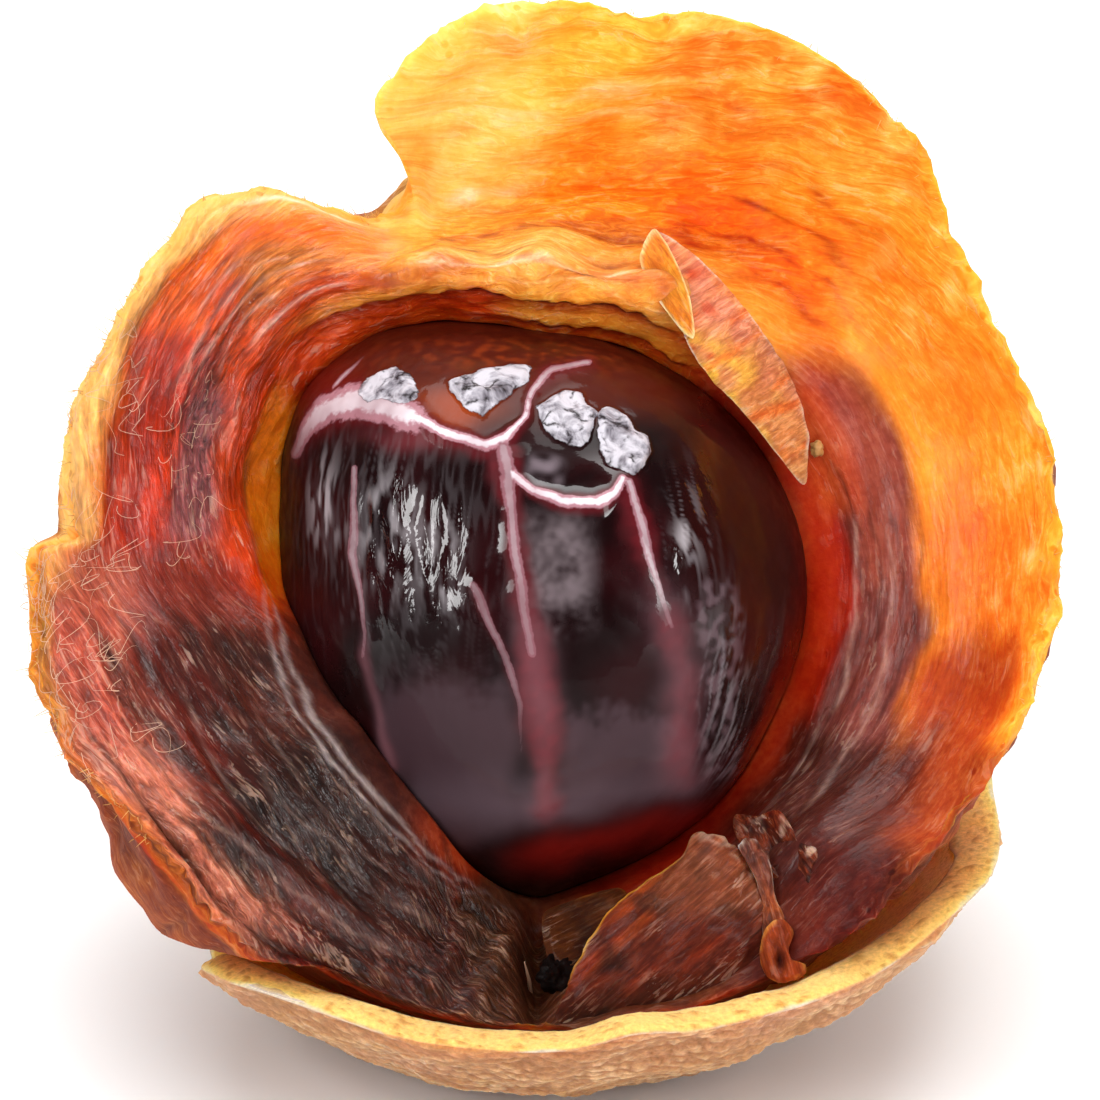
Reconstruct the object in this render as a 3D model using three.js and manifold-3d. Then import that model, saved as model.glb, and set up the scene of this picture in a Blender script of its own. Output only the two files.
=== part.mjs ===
// Dried longan, torn open: a shell fragment, the dried flesh and the seed.
// Lengths are in millimetres, angles in degrees. +Z is up, -Y is the side the mouth opens towards.
import * as THREE from 'three';
import { mergeVertices } from 'three/addons/utils/BufferGeometryUtils.js';
import Module from 'manifold-3d';

// Driving dimensions
const FRUIT_RADIUS = 13.5;
const SHELL_WALL = 0.85;
const CLEARANCE = 0.35;
const REST_CUT = 0.75;
const FLOOR_WALL = 0.66;
const MOUTH_TILT = 30;
const MOUTH_X = -0.24;
const MOUTH_Y = -1.68;
const SEED_DEPTH = -2.0;
const SEED_HALF = 6.6;
const FLESH_BACK = -12.2;
const SHELL_COLUMNS = 76;
const SEED_COLUMNS = 64;
const SEED_ROWS = 30;
const FLESH_COLUMNS = 106;

// The mouth frame: x to the right, y up across the mouth, z out of it. Its origin is the fruit's centre.
const tilt = THREE.MathUtils.degToRad(MOUTH_TILT);
const sinTilt = Math.sin(tilt);
const cosTilt = Math.cos(tilt);
const CENTRE_HEIGHT = FRUIT_RADIUS - REST_CUT;

function toWorld(x, y, z) {
  return new THREE.Vector3(x, y * sinTilt - z * cosTilt, y * cosTilt + z * sinTilt);
}

// Curves through a table
const wrap = (a) => ((a % 360) + 360) % 360;
const radians = (a) => (a * Math.PI) / 180;
const smooth = (lo, hi, x) => THREE.MathUtils.smoothstep(x, lo, hi);
const bell = (x, mid, half) => Math.exp(-(((x - mid) / half) ** 2));
const angleGap = (a, b) => Math.abs(wrap(a - b + 180) - 180);

// Closed monotone curve through rows of [angle, value, value, ...]
function roundTable(rows) {
  const n = rows.length;
  const width = rows[0].length - 1;
  const angle = (i) => rows[((i % n) + n) % n][0] + 360 * Math.floor(i / n);
  const value = (i, c) => rows[((i % n) + n) % n][c + 1];
  const slope = (i, c) => (value(i + 1, c) - value(i, c)) / (angle(i + 1) - angle(i));
  const tangent = (i, c) => {
    const before = slope(i - 1, c);
    const after = slope(i, c);
    if (before * after <= 0) return 0;
    const h0 = angle(i) - angle(i - 1);
    const h1 = angle(i + 1) - angle(i);
    const w0 = 2 * h1 + h0;
    const w1 = h1 + 2 * h0;
    return (w0 + w1) / (w0 / before + w1 / after);
  };
  return (at) => {
    let a = wrap(at);
    if (a < rows[0][0]) a += 360;
    let i = 0;
    while (angle(i + 1) <= a) i += 1;
    const h = angle(i + 1) - angle(i);
    const t = (a - angle(i)) / h;
    const out = [];
    for (let c = 0; c < width; c += 1) {
      const t2 = t * t;
      const t3 = t2 * t;
      out.push(
        (2 * t3 - 3 * t2 + 1) * value(i, c) +
          (t3 - 2 * t2 + t) * h * tangent(i, c) +
          (3 * t2 - 2 * t3) * value(i + 1, c) +
          (t3 - t2) * h * tangent(i + 1, c),
      );
    }
    return out;
  };
}

// Irregular lumps of about the given size, as a height between -0.6 and 0.6. Each wave has a direction,
// a rate and a phase, and is bent by its neighbour.
const WAVES = [
  [0.8, 0.36, 0.48, 1, 1.7],
  [-0.48, 0.8, 0.36, 1.19, 2.9],
  [0.36, -0.48, 0.8, 0.87, 4.1],
  [0.58, 0.58, -0.58, 1.37, 5.3],
];
function ripple(p, size, seed) {
  const k = Math.PI / (1.1 * size);
  let sum = 0;
  WAVES.forEach(([x, y, z, rate, phase], i) => {
    const [u, v, w] = WAVES[(i + 1) % WAVES.length];
    const bend = Math.sin(0.63 * k * (u * p.x + v * p.y + w * p.z) + 0.7 * phase * seed);
    sum += Math.sin(k * rate * (x * p.x + y * p.y + z * p.z) + phase * seed + 1.1 * bend);
  });
  return 0.2 * sum;
}
const aroundEdge = (a, size, seed) => {
  const middle = 11;
  return ripple({ x: middle * Math.cos(a), y: middle * Math.sin(a), z: 0 }, size, seed);
};

// Height of the shell's broken edge above the fruit's centre, by compass angle
const shellEdge = roundTable([
  [0, -7.9],
  [22, -7.5],
  [40, -7.2],
  [52, -8.1],
  [66, -8.5],
  [84, -7.6],
  [104, -7.1],
  [122, -7.8],
  [136, -8.3],
  [148, -9.2],
  [162, -10.2],
  [180, -10.6],
  [196, -10.4],
  [205, -9.9],
  [211, -9.1],
  [220, -8.3],
  [237, -7.6],
  [250, -7.9],
  [261, -8.1],
  [272, -7.9],
  [281, -7.25],
  [288, -7.5],
  [297, -7.5],
  [311, -7.6],
  [322, -7.25],
  [332, -7.0],
  [345, -7.4],
]);
const tornEdge = (a) => shellEdge(a)[0] + 0.14 * aroundEdge(radians(a), 1.5, 3);

// Outline of the seed round the mouth's axis
const seedOutline = roundTable([
  [0, 6.5],
  [20, 6.62],
  [45, 6.65],
  [70, 6.72],
  [90, 6.85],
  [100, 7.1],
  [112, 7.55],
  [124, 7.9],
  [134, 7.92],
  [146, 7.55],
  [158, 6.95],
  [172, 6.55],
  [190, 6.4],
  [215, 6.4],
  [238, 6.6],
  [256, 6.95],
  [268, 7.1],
  [280, 6.8],
  [296, 6.58],
  [314, 6.45],
  [334, 6.32],
  [348, 6.4],
]);

// Cross-sections of the flesh round the mouth. Each row holds the angle, the latitude on the seed where
// the wall leaves it, then radius and depth of: lip, inner slope, crest, valley, middle of the wall,
// inside of the rim, rim, outside of the rim, shoulder; last comes the sideways lean of the rim.
const fleshSection = roundTable([
  [0, 5, 7, -1.25, 7.45, -1.05, 8.25, -0.75, 9.3, -0.7, 10.5, -0.2, 11.8, 0.9, 12.45, 1.6, 12.6, 0.8, 12.5, -1, 0],
  [20, 5, 7.1, -1.3, 7.55, -1.2, 8.35, -0.95, 9.5, -1, 10.7, -0.7, 12.1, 0.3, 12.95, 1, 12.95, 0.1, 12.7, -1.8, 0],
  [35, 4, 7.12, -1.35, 7.6, -1.25, 8.4, -1.1, 9.6, -1.3, 10.8, -1.1, 12.2, 0, 13.04, 0.8, 12.9, -0.2, 12.5, -2.6, 0],
  [42, 4, 7.12, -1.3, 7.6, -1.1, 8.4, -0.95, 9.6, -1.5, 11, -1.4, 12.6, -0.2, 13.5, 0.5, 13.2, -0.7, 12.4, -3.4, 0],
  [50, 4, 7.1, -1.2, 7.5, -0.8, 8.4, -0.45, 9.6, -1.5, 11.2, -1.8, 13.3, -0.6, 14.5, 0.2, 13.9, -1.2, 12.2, -4.6, 0],
  [65, 4, 7.18, -1, 7.48, -0.3, 8.3, 0.1, 9.5, -1.7, 11, -2.6, 13.6, -1.4, 15.2, -0.4, 14.4, -1.9, 11.3, -5.8, 0],
  [79, 6, 7.22, -0.8, 7.42, 0, 8.3, 0.45, 9.3, -1.6, 10.7, -2.9, 13.3, -1.9, 14.85, -0.9, 14.1, -2.3, 11, -6.1, 0],
  [92, 7, 7.32, -0.7, 7.52, 0.05, 8.35, 0.5, 9.2, -1.4, 10.6, -3, 13, -2, 14.6, -1, 13.9, -2.4, 10.9, -6.2, 0],
  [101, 6, 7.58, -0.8, 7.8, 0, 8.55, 0.4, 9.3, -1.3, 10.6, -2.9, 12.7, -2.1, 14, -1.3, 13.5, -2.6, 10.9, -6, 0.6],
  [104.5, 5, 7.72, -0.9, 7.95, -0.1, 8.65, 0.35, 9.35, -1.2, 10.5, -2.6, 12, -2.1, 12.95, -1.6, 12.5, -2.9, 10.8, -5.9, 4],
  [106, 5, 7.8, -0.95, 8.02, -0.15, 8.68, 0.25, 9.3, -1, 10.1, -2.2, 11.1, -2.3, 11.8, -2.1, 11.5, -3.2, 10.75, -5.6, 1.4],
  [107.5, 4, 7.86, -1, 8.1, -0.2, 8.7, 0.2, 9.25, -0.7, 9.8, -1.7, 10.4, -2.1, 10.85, -2.5, 10.95, -3.5, 10.75, -5.4, 0],
  [113, 4, 8.08, -1, 8.35, -0.3, 8.8, 0.1, 9.25, -0.3, 9.7, -1.1, 10.05, -1.6, 10.3, -2.3, 10.45, -3.3, 10.5, -5.2, 0],
  [118, 3, 8.26, -1.1, 8.55, -0.4, 9, 0, 9.55, -0.2, 10.1, -0.6, 10.6, -0.9, 10.88, -1.5, 11, -2.5, 10.9, -4.6, 0],
  [124, 3, 8.42, -1.2, 8.75, -0.6, 9.4, -0.1, 10.15, 0, 10.9, 0.1, 11.6, 0.1, 12.05, -0.4, 12.05, -1.4, 11.7, -3.4, 0],
  [130, 3, 8.44, -1.3, 8.85, -0.8, 9.6, -0.2, 10.5, 0.2, 11.4, 0.5, 12.2, 0.7, 12.67, 0.4, 12.7, -0.5, 12.3, -2.4, 0],
  [150, 5, 7.87, -1.1, 8.3, -0.5, 9.1, 0.3, 10, 0.9, 11, 1.4, 11.9, 1.8, 12.3, 1.6, 12.4, 0.8, 12.2, -1.2, 0],
  [164, 8, 7.22, -0.75, 7.55, 0.2, 8.4, 1.2, 9.4, 1.7, 10.4, 2.2, 11.5, 2.5, 11.98, 2.3, 12.1, 1.4, 12.05, -0.6, 0],
  [171, 10, 6.95, -0.4, 7.2, 0.7, 8.2, 1.6, 9.3, 2.1, 10.3, 2.5, 11.1, 2.7, 11.5, 2.5, 11.65, 1.6, 11.75, -0.3, 0],
  [173.5, 11, 6.85, -0.25, 7.1, 0.8, 8.2, 1.7, 9.4, 2.2, 10.6, 2.6, 11.8, 2.7, 12.4, 2.4, 12.45, 1.5, 12.35, -0.2, 0],
  [185, 18, 6.2, 1.05, 6.75, 1.9, 8, 2.6, 9.3, 3, 10.6, 3.2, 11.7, 3.2, 12.25, 2.7, 12.35, 1.9, 12.35, 0, 0],
  [197, 25, 5.95, 1.7, 6.6, 2.5, 7.8, 3.1, 9, 3.6, 10.2, 3.9, 11.3, 3.9, 11.8, 3.4, 12, 2.6, 12.05, 0.6, 0],
  [206, 28, 5.82, 2.1, 6.5, 2.8, 7.7, 3.4, 8.9, 4, 10, 4.5, 10.8, 4.8, 11.2, 4.5, 11.5, 3.7, 12.1, 0.9, 0],
  [214, 30, 5.7, 2.4, 6.4, 3, 7.6, 3.5, 8.8, 4.2, 9.8, 4.8, 10.5, 5.2, 10.85, 5.1, 11.35, 4.3, 12.25, 1, 0],
  [222, 30, 5.75, 2.4, 6.4, 2.95, 7.55, 3.4, 8.7, 4, 9.75, 4.6, 10.5, 5, 10.9, 4.9, 11.35, 4.1, 12.25, 1, 0],
  [230, 30, 5.88, 2.3, 6.42, 2.75, 7.5, 3.1, 8.6, 3.7, 9.6, 4.3, 10.45, 4.6, 10.85, 4.4, 11.25, 3.7, 11.75, 0.9, 0],
  [243, 24, 6.25, 1.9, 6.8, 2.5, 7.8, 2.8, 8.7, 3.2, 9.5, 3.6, 10.1, 3.7, 10.4, 3.4, 10.6, 2.6, 10.9, 0.8, 0],
  [257, 10, 6.95, 0.4, 7.35, 1.2, 7.95, 1.7, 8.7, 2.3, 9.4, 2.8, 10, 3.2, 10.35, 3.1, 10.5, 2.3, 10.65, 0.6, 0],
  [266, 4, 7.45, -0.9, 7.7, 0.1, 8.1, 0.9, 8.7, 1.5, 9.4, 2.1, 9.95, 2.8, 10.3, 2.9, 10.45, 2.2, 10.6, 0.4, 0],
  [270, 0, 7.5, -1.5, 7.7, -0.8, 8, -0.2, 8.6, 0.4, 9.3, 1.2, 9.9, 2.3, 10.25, 2.7, 10.4, 2, 10.6, 0.3, 0],
  [276, 0, 7.35, -1.5, 7.55, -0.5, 7.8, 0.2, 8.45, 0.9, 9.3, 1.8, 9.95, 2.6, 10.3, 2.8, 10.5, 2.1, 10.7, 0.4, 0],
  [290, 0, 7.14, -1.4, 7.36, -0.3, 7.7, 0.6, 8.4, 1.3, 9.3, 2.1, 10, 2.8, 10.4, 3, 10.6, 2.3, 10.8, 0.6, 0],
  [305, 0, 7.02, -1.4, 7.25, -0.3, 7.75, 0.7, 8.6, 1.6, 9.6, 2.5, 10.4, 3.1, 10.9, 3.2, 11.05, 2.4, 11.1, 0.8, 0],
  [318, 2, 6.9, -1.3, 7.1, -0.4, 7.75, 0.6, 8.6, 1.8, 9.5, 2.7, 10.3, 3.3, 10.75, 3.5, 11, 2.7, 11.05, 0.6, 0],
  [332, 4, 6.84, -1.3, 7.15, -0.8, 7.85, 0, 8.8, 0.8, 9.8, 1.6, 10.7, 2.6, 11.15, 3.1, 11.35, 2.2, 11.45, 0, 0],
  [346, 5, 6.88, -1.3, 7.25, -0.95, 8.05, -0.5, 9.1, -0.1, 10.3, 0.6, 11.3, 1.7, 11.8, 2.4, 12, 1.4, 11.95, -0.6, 0],
]);

// Positions along a cross-section, from behind the seed out over the rim and round to the back
const FLESH_ROWS = [
  0, 0.6, 1.2, 1.8, 2.4, 3, 3.6, 4.1, 4.6, 5, 5.4, 5.8, 6.2, 6.6, 7, 7.4, 7.8, 8.2, 8.6, 9, 9.4, 9.8, 10.15,
  10.5, 10.8, 11, 11.2, 11.5, 12, 12.5, 13, 13.4, 13.8, 14.2, 14.6, 15, 15.35, 15.7, 16,
];

// Columns stand closer together at the notch, the step and the seam
function spreadAngles(count, crowds) {
  const steps = 3600;
  const sum = [0];
  for (let i = 0; i < steps; i += 1) {
    const a = (i * 360) / steps;
    let density = 1;
    for (const [at, half, more] of crowds) density += more * bell(angleGap(a, at), 0, half);
    sum.push(sum[i] + density);
  }
  const out = [];
  let j = 0;
  for (let i = 0; i < count; i += 1) {
    const want = (sum[steps] * i) / count;
    while (sum[j + 1] < want) j += 1;
    out.push(((j + (want - sum[j]) / (sum[j + 1] - sum[j])) * 360) / steps);
  }
  return out;
}
const fleshAngles = spreadAngles(FLESH_COLUMNS, [
  [105.5, 4, 2.4],
  [172.5, 3, 1.2],
  [269, 4, 1.2],
]);

// One cross-section as a curve of radius and depth
function fleshCurve(angle) {
  const s = fleshSection(angle);
  const seedR = seedOutline(angle)[0] + CLEARANCE;
  const seedC = SEED_HALF + CLEARANCE;
  const onSeed = (lat) => [seedR * Math.cos(radians(lat)), SEED_DEPTH + seedC * Math.sin(radians(lat))];
  const points = [[0, SEED_DEPTH - seedC]];
  for (const share of [0.3, 0.58, 0.82]) points.push(onSeed((s[0] + 90) * share - 90));
  points.push([(seedR + 0.1) * Math.cos(radians(s[0])), SEED_DEPTH + (seedC + 0.1) * Math.sin(radians(s[0]))]);
  for (let k = 0; k < 9; k += 1) points.push([s[1 + 2 * k], s[2 + 2 * k]]);
  const [shoulderR, shoulderZ] = points[13];
  for (const turn of [34, 62]) {
    points.push([
      shoulderR * Math.cos(radians(turn)),
      shoulderZ + (FLESH_BACK - shoulderZ) * Math.sin(radians(turn)),
    ]);
  }
  points.push([0, FLESH_BACK]);
  const all = [[-points[1][0], points[1][1]], ...points, [-points[15][0], points[15][1]]];
  const curve = new THREE.CatmullRomCurve3(all.map(([r, z]) => new THREE.Vector3(r, z, 0)), false, 'centripetal');
  return { curve, spans: all.length - 1, lean: s[19] };
}

// Folds, creases and torn edges, as a height along the surface normal
function fleshRelief(angle, row, p) {
  const inside = smooth(4.6, 5.6, row) * (1 - smooth(10.9, 11.4, row));
  const outside = smooth(11.4, 12.2, row);
  const rim = bell(row, 11, 0.9);
  let h = 0;
  const crest = bell(row, 7, 0.75) * (1 - smooth(118, 135, angle)) * smooth(48, 62, angle);
  h += 0.28 * crest * Math.sin(radians(angle) * 17 + 2.2 * ripple(p, 3, 4));
  const left = bell(angleGap(angle, 160), 0, 34) * inside;
  h += 0.22 * left * Math.sin(row * 3.1 + radians(angle) * 5 + 1.6 * ripple(p, 4, 9));
  const strands = bell(angleGap(angle, 226), 0, 34) * smooth(5.6, 6.4, row) * (1 - smooth(10.3, 10.9, row));
  h += 0.13 * strands * Math.sin(row * 5.6 + 1.5 * ripple(p, 4, 2));
  const band = bell(angleGap(angle, 350), 0, 42) * bell(row, 7.6, 1.4);
  h += 0.12 * band * Math.sin(row * 5.2 - radians(angle) * 7 + 1.5 * ripple(p, 4, 6));
  const flap = smooth(38, 55, angle) * (1 - smooth(100, 106, angle)) * bell(row, 9.6, 1.3);
  h += 0.24 * flap * Math.sin(p.x * 1.35 - p.y * 1.7 + 2.4 * ripple(p, 5, 1));
  h -= 0.34 * bell(angleGap(angle, 216), 0, 14) * bell(row, 9.75, 0.4);
  h -= 0.55 * bell(angleGap(angle, 269), 0, 2.6) * smooth(5, 6, row) * (1 - smooth(10, 10.8, row));
  const wavy = bell(angleGap(angle, 259), 0, 7) * smooth(6, 7, row) * (1 - smooth(10, 10.8, row));
  h += 0.16 * wavy * Math.sin(radians(angle) * 46 + row * 1.3);
  h += 0.3 * inside * ripple(p, 2.6, 14);
  h += outside * (0.42 * ripple(p, 4.2, 17) + 0.22 * ripple(p, 1.9, 23));
  h += 0.16 * rim * ripple(p, 1.5, 29);
  return h;
}

// The flesh stays inside the shell below its broken edge, and inside the fruit above it
function heldIn(v) {
  const edge = tornEdge(THREE.MathUtils.radToDeg(Math.atan2(v.y, v.x)));
  const inner = FRUIT_RADIUS - SHELL_WALL - CLEARANCE;
  const limit = inner + (FRUIT_RADIUS + 0.15 - inner) * smooth(edge + 0.25, edge + 1.25, v.z);
  const soft = 0.35;
  const d = v.length();
  if (d > limit - soft) v.multiplyScalar((limit - soft * Math.exp(-(d - limit + soft) / soft)) / d);
  v.z = Math.max(v.z, -(CENTRE_HEIGHT - FLOOR_WALL - CLEARANCE));
  return v;
}

function fleshPoint(angle, row) {
  const { curve, spans, lean } = fleshCurve(angle);
  const at = (r) => curve.getPoint((r + 1) / spans);
  const here = at(row);
  const ahead = at(Math.min(16, row + 0.01)).sub(at(Math.max(0, row - 0.01)));
  const along = ahead.length() > 1e-9 ? ahead.normalize() : new THREE.Vector3(1, 0, 0);
  const turned = radians(angle + lean * smooth(9.4, 10.6, row) * (1 - smooth(11.4, 12.6, row)));
  const place = (r, z) =>
    new THREE.Vector3(MOUTH_X + r * Math.cos(turned), MOUTH_Y + r * Math.sin(turned), z);
  const p = place(here.x, here.y);
  const out = row > 0 && row < 16 ? 1 : 0;
  const h = out * fleshRelief(angle, row, p);
  const normal = new THREE.Vector3(-along.y * Math.cos(turned), -along.y * Math.sin(turned), along.x);
  if (out) p.addScaledVector(normal, h);
  const rag = bell(row, 11, 1.1) * out;
  const torn = 0.24 * ripple(p, 1.1, 41) + 0.16 * ripple(p, 2.3, 43);
  p.x += rag * torn * Math.cos(turned);
  p.y += rag * torn * Math.sin(turned);
  p.z += rag * 0.4 * ripple(p, 1.7, 47);
  return heldIn(toWorld(p.x, p.y, p.z));
}

// A closed skin laid over the rows and columns of a sphere
function skin(columns, rows, point) {
  const sphere = new THREE.SphereGeometry(1, columns, rows);
  const uv = sphere.attributes.uv;
  const position = sphere.attributes.position;
  const known = new Map();
  for (let i = 0; i < position.count; i += 1) {
    const row = Math.round((1 - uv.getY(i)) * rows);
    const pole = row === 0 || row === rows;
    const index = Math.floor(i / 1) % (columns + 1);
    const column = pole ? 0 : index % columns;
    const key = `${column},${row}`;
    if (!known.has(key)) known.set(key, point(column, row));
    const p = known.get(key);
    position.setXYZ(i, p.x, p.y, p.z);
  }
  return closed(sphere);
}

// Positions only, joined at their edges, faces outward
function closed(geometry) {
  const bare = new THREE.BufferGeometry();
  bare.setAttribute('position', geometry.attributes.position);
  if (geometry.index) bare.setIndex(geometry.index);
  const joined = mergeVertices(bare, 1e-5);
  const p = joined.attributes.position;
  const index = joined.index.array;
  const faces = [];
  let volume = 0;
  const a = new THREE.Vector3();
  const b = new THREE.Vector3();
  const c = new THREE.Vector3();
  for (let i = 0; i < index.length; i += 3) {
    const [i0, i1, i2] = [index[i], index[i + 1], index[i + 2]];
    if (i0 === i1 || i1 === i2 || i2 === i0) continue;
    faces.push(i0, i1, i2);
    a.fromBufferAttribute(p, i0);
    b.fromBufferAttribute(p, i1);
    c.fromBufferAttribute(p, i2);
    volume += a.dot(b.cross(c));
  }
  if (volume < 0) {
    for (let i = 0; i < faces.length; i += 3) [faces[i + 1], faces[i + 2]] = [faces[i + 2], faces[i + 1]];
  }
  joined.setIndex(faces);
  return joined;
}

// Shell: a bowl with a pebbled outside, a torn edge and a flat spot to rest on
function shellGeometry() {
  const outerFlat = Math.acos(CENTRE_HEIGHT / FRUIT_RADIUS);
  const innerRadius = FRUIT_RADIUS - SHELL_WALL;
  const floor = CENTRE_HEIGHT - FLOOR_WALL;
  const innerFlat = Math.acos(floor / innerRadius);
  const outerRows = 13;
  const innerRows = 8;
  const rows = outerRows + innerRows + 3;
  const angles = spreadAngles(SHELL_COLUMNS, [[208, 6, 0.8]]);
  return skin(SHELL_COLUMNS, rows, (column, row) => {
    const a = radians(angles[column]);
    const edge = tornEdge(angles[column]);
    const at = (turn, radius) =>
      new THREE.Vector3(
        radius * Math.sin(turn) * Math.cos(a),
        radius * Math.sin(turn) * Math.sin(a),
        -radius * Math.cos(turn),
      );
    if (row === 0) return new THREE.Vector3(0, 0, -CENTRE_HEIGHT);
    if (row >= rows) return new THREE.Vector3(0, 0, -floor);
    if (row <= outerRows) {
      const share = (row - 1) / (outerRows - 1);
      const turn = outerFlat + (Math.acos(-edge / FRUIT_RADIUS) - outerFlat) * share;
      const p = at(turn, FRUIT_RADIUS);
      const relief = smooth(0.02, 0.3, share) * (0.2 * ripple(p, 1.3, 3) + 0.14 * ripple(p, 2.7, 7));
      return p.multiplyScalar(1 + relief / FRUIT_RADIUS);
    }
    if (row === outerRows + 1) {
      const lift = 0.1 + 0.5 * aroundEdge(a, 1.2, 8);
      const middle = FRUIT_RADIUS - 0.5 * SHELL_WALL;
      return at(Math.acos(-(edge + 0.25 * lift) / middle), middle);
    }
    const share = (rows - 1 - row) / (rows - 3 - outerRows);
    const low = edge - 0.1 + 0.3 * aroundEdge(a, 1.4, 5);
    const turn = innerFlat + (Math.acos(-low / innerRadius) - innerFlat) * share;
    const p = at(turn, innerRadius);
    const relief = smooth(0.05, 0.4, share) * 0.1 * Math.abs(ripple(p, 2.2, 11));
    return p.multiplyScalar(1 + relief / innerRadius);
  });
}

// Ridges of dried syrup on the front of the seed, as lines in the mouth frame
const SYRUP_RIDGES = [
  {
    height: 0.46, width: 0.46,
    line: [[-6.25, 2.1], [-5.4, 3.1], [-4.3, 3.2], [-3.2, 2.8], [-1.6, 2.2], [-0.7, 2.9], [0, 4.1], [0.9, 4.3]],
  },
  { height: 0.4, width: 0.42, line: [[-1.1, 2.2], [-1, 0.6], [-0.7, -1.6], [-0.2, -4], [-0.15, -6.6]] },
  { height: 0.4, width: 0.42, line: [[1.9, 1.4], [2.3, -0.3], [2.9, -2.1], [3.1, -4.1], [3.3, -5.8]] },
  { height: 0.4, width: 0.42, line: [[-1, 1.6], [0.3, 0.9], [1.5, 1.1], [2.2, 2.2], [1.4, 3.2], [0.2, 3.5]] },
  { height: 0.3, width: 0.42, line: [[-4.7, 1.7], [-4.8, -0.3], [-4.5, -2.8], [-3.9, -5.5]] },
  { height: 0.28, width: 0.4, line: [[-1.9, -1.1], [-1.1, -2.8], [-0.7, -5.2]] },
];

function lineDistance(x, y, line) {
  let best = Infinity;
  for (let i = 0; i + 1 < line.length; i += 1) {
    const [ax, ay] = line[i];
    const [bx, by] = line[i + 1];
    const t = THREE.MathUtils.clamp(
      ((x - ax) * (bx - ax) + (y - ay) * (by - ay)) / ((bx - ax) ** 2 + (by - ay) ** 2),
      0,
      1,
    );
    best = Math.min(best, Math.hypot(x - ax - t * (bx - ax), y - ay - t * (by - ay)));
  }
  return best;
}

function seedGeometry() {
  return skin(SEED_COLUMNS, SEED_ROWS, (column, row) => {
    const angle = (column * 360) / SEED_COLUMNS;
    const lat = radians(90 - (row * 180) / SEED_ROWS);
    const radius = seedOutline(angle)[0];
    const n = new THREE.Vector3(
      Math.cos(lat) * Math.cos(radians(angle)),
      Math.cos(lat) * Math.sin(radians(angle)),
      Math.sin(lat),
    );
    const x = MOUTH_X + radius * n.x;
    const y = MOUTH_Y + radius * n.y;
    const z = SEED_DEPTH + SEED_HALF * n.z;
    let h = 0;
    for (const ridge of SYRUP_RIDGES) {
      h = Math.max(h, ridge.height * bell(lineDistance(x, y, ridge.line), 0, ridge.width));
    }
    h *= smooth(0.05, 0.45, n.z);
    h += 0.1 * ripple(new THREE.Vector3(x, y, z), 2.4, 5) * smooth(-0.1, 0.5, n.z);
    return toWorld(x + h * n.x, y + h * n.y, z + h * n.z);
  });
}

// Thin torn pieces of flesh: a rounded plate inside an outline, bent by a depth formula
function leafGeometry({ outline, thickness, depth, columns = 32 }) {
  const points = outline.map(([angle, radius]) => [
    MOUTH_X + radius * Math.cos(radians(angle)),
    MOUTH_Y + radius * Math.sin(radians(angle)),
  ]);
  const cx = points.reduce((s, q) => s + q[0], 0) / points.length;
  const cy = points.reduce((s, q) => s + q[1], 0) / points.length;
  const edge = new THREE.CatmullRomCurve3(points.map(([x, y]) => new THREE.Vector3(x, y, 0)), true, 'centripetal');
  const shares = [0, 0.5, 0.86, 0.96, 1, 0.96, 0.86, 0.5, 0];
  const lifts = [0.5, 0.5, 0.5, 0.36, 0, -0.36, -0.5, -0.5, -0.5];
  return skin(columns, shares.length - 1, (column, row) => {
    const e = edge.getPoint(column / columns);
    const x = cx + shares[row] * (e.x - cx);
    const y = cy + shares[row] * (e.y - cy);
    return toWorld(x, y, depth(x, y) + lifts[row] * thickness);
  });
}

const fromMouth = (x, y) => Math.hypot(x - MOUTH_X, y - MOUTH_Y);

// Torn tab in front of the seam, its top edge free
const TAB = {
  thickness: 0.85,
  columns: 38,
  depth: (x, y) => 2.35 - 0.42 * (y + 8.6) - 0.12 * (y + 8.6) ** 2 + 0.25 * Math.sin(x * 2.1) * smooth(-10.6, -8.8, y),
  outline: [
    [272.5, 9.9],
    [273.5, 9.3],
    [275.5, 8.7],
    [278.5, 8.1],
    [282, 7.55],
    [286, 7.28],
    [290, 7.12],
    [295, 7.0],
    [300, 6.88],
    [304, 6.62],
    [307.5, 6.85],
    [309.5, 7.4],
    [310, 8.1],
    [309, 8.8],
    [307, 9.4],
    [303, 9.9],
    [295, 10.1],
    [285, 10.15],
    [277, 10.1],
  ],
};

// Pale leaf of membrane across the gap at the upper right
const SLIVER = {
  thickness: 0.62,
  depth: (x, y) => 0.95 - 0.5 * (fromMouth(x, y) - 6.7) - 1.2 * smooth(4.2, 6.6, x),
  outline: [
    [25.5, 7.08],
    [35, 6.85],
    [45, 6.85],
    [54, 6.95],
    [61, 7.35],
    [66, 8.05],
    [70, 8.9],
    [73, 9.6],
    [68, 9.45],
    [60, 9.05],
    [53, 8.7],
    [45, 8.4],
    [35, 7.9],
    [29, 7.45],
  ],
};

// Second, smaller piece of membrane beside it
const SLIVER_END = {
  thickness: 0.62,
  columns: 24,
  depth: (x, y) => 0.35 - 0.9 * (fromMouth(x, y) - 8.4),
  outline: [
    [69, 8.2],
    [73, 8.15],
    [76, 8.6],
    [76.5, 9.3],
    [74.5, 9.8],
    [71, 9.5],
  ],
};

// Curled end of the torn flesh to the right of the tab
const CURL = {
  thickness: 1.1,
  columns: 24,
  depth: (x, y) => 3.1 - 0.25 * (y + 10),
  outline: [
    [300.5, 10.15],
    [302.5, 9.7],
    [305, 9.35],
    [308, 9.4],
    [308.7, 9.9],
    [306, 10.3],
    [303, 10.45],
  ],
};

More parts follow.
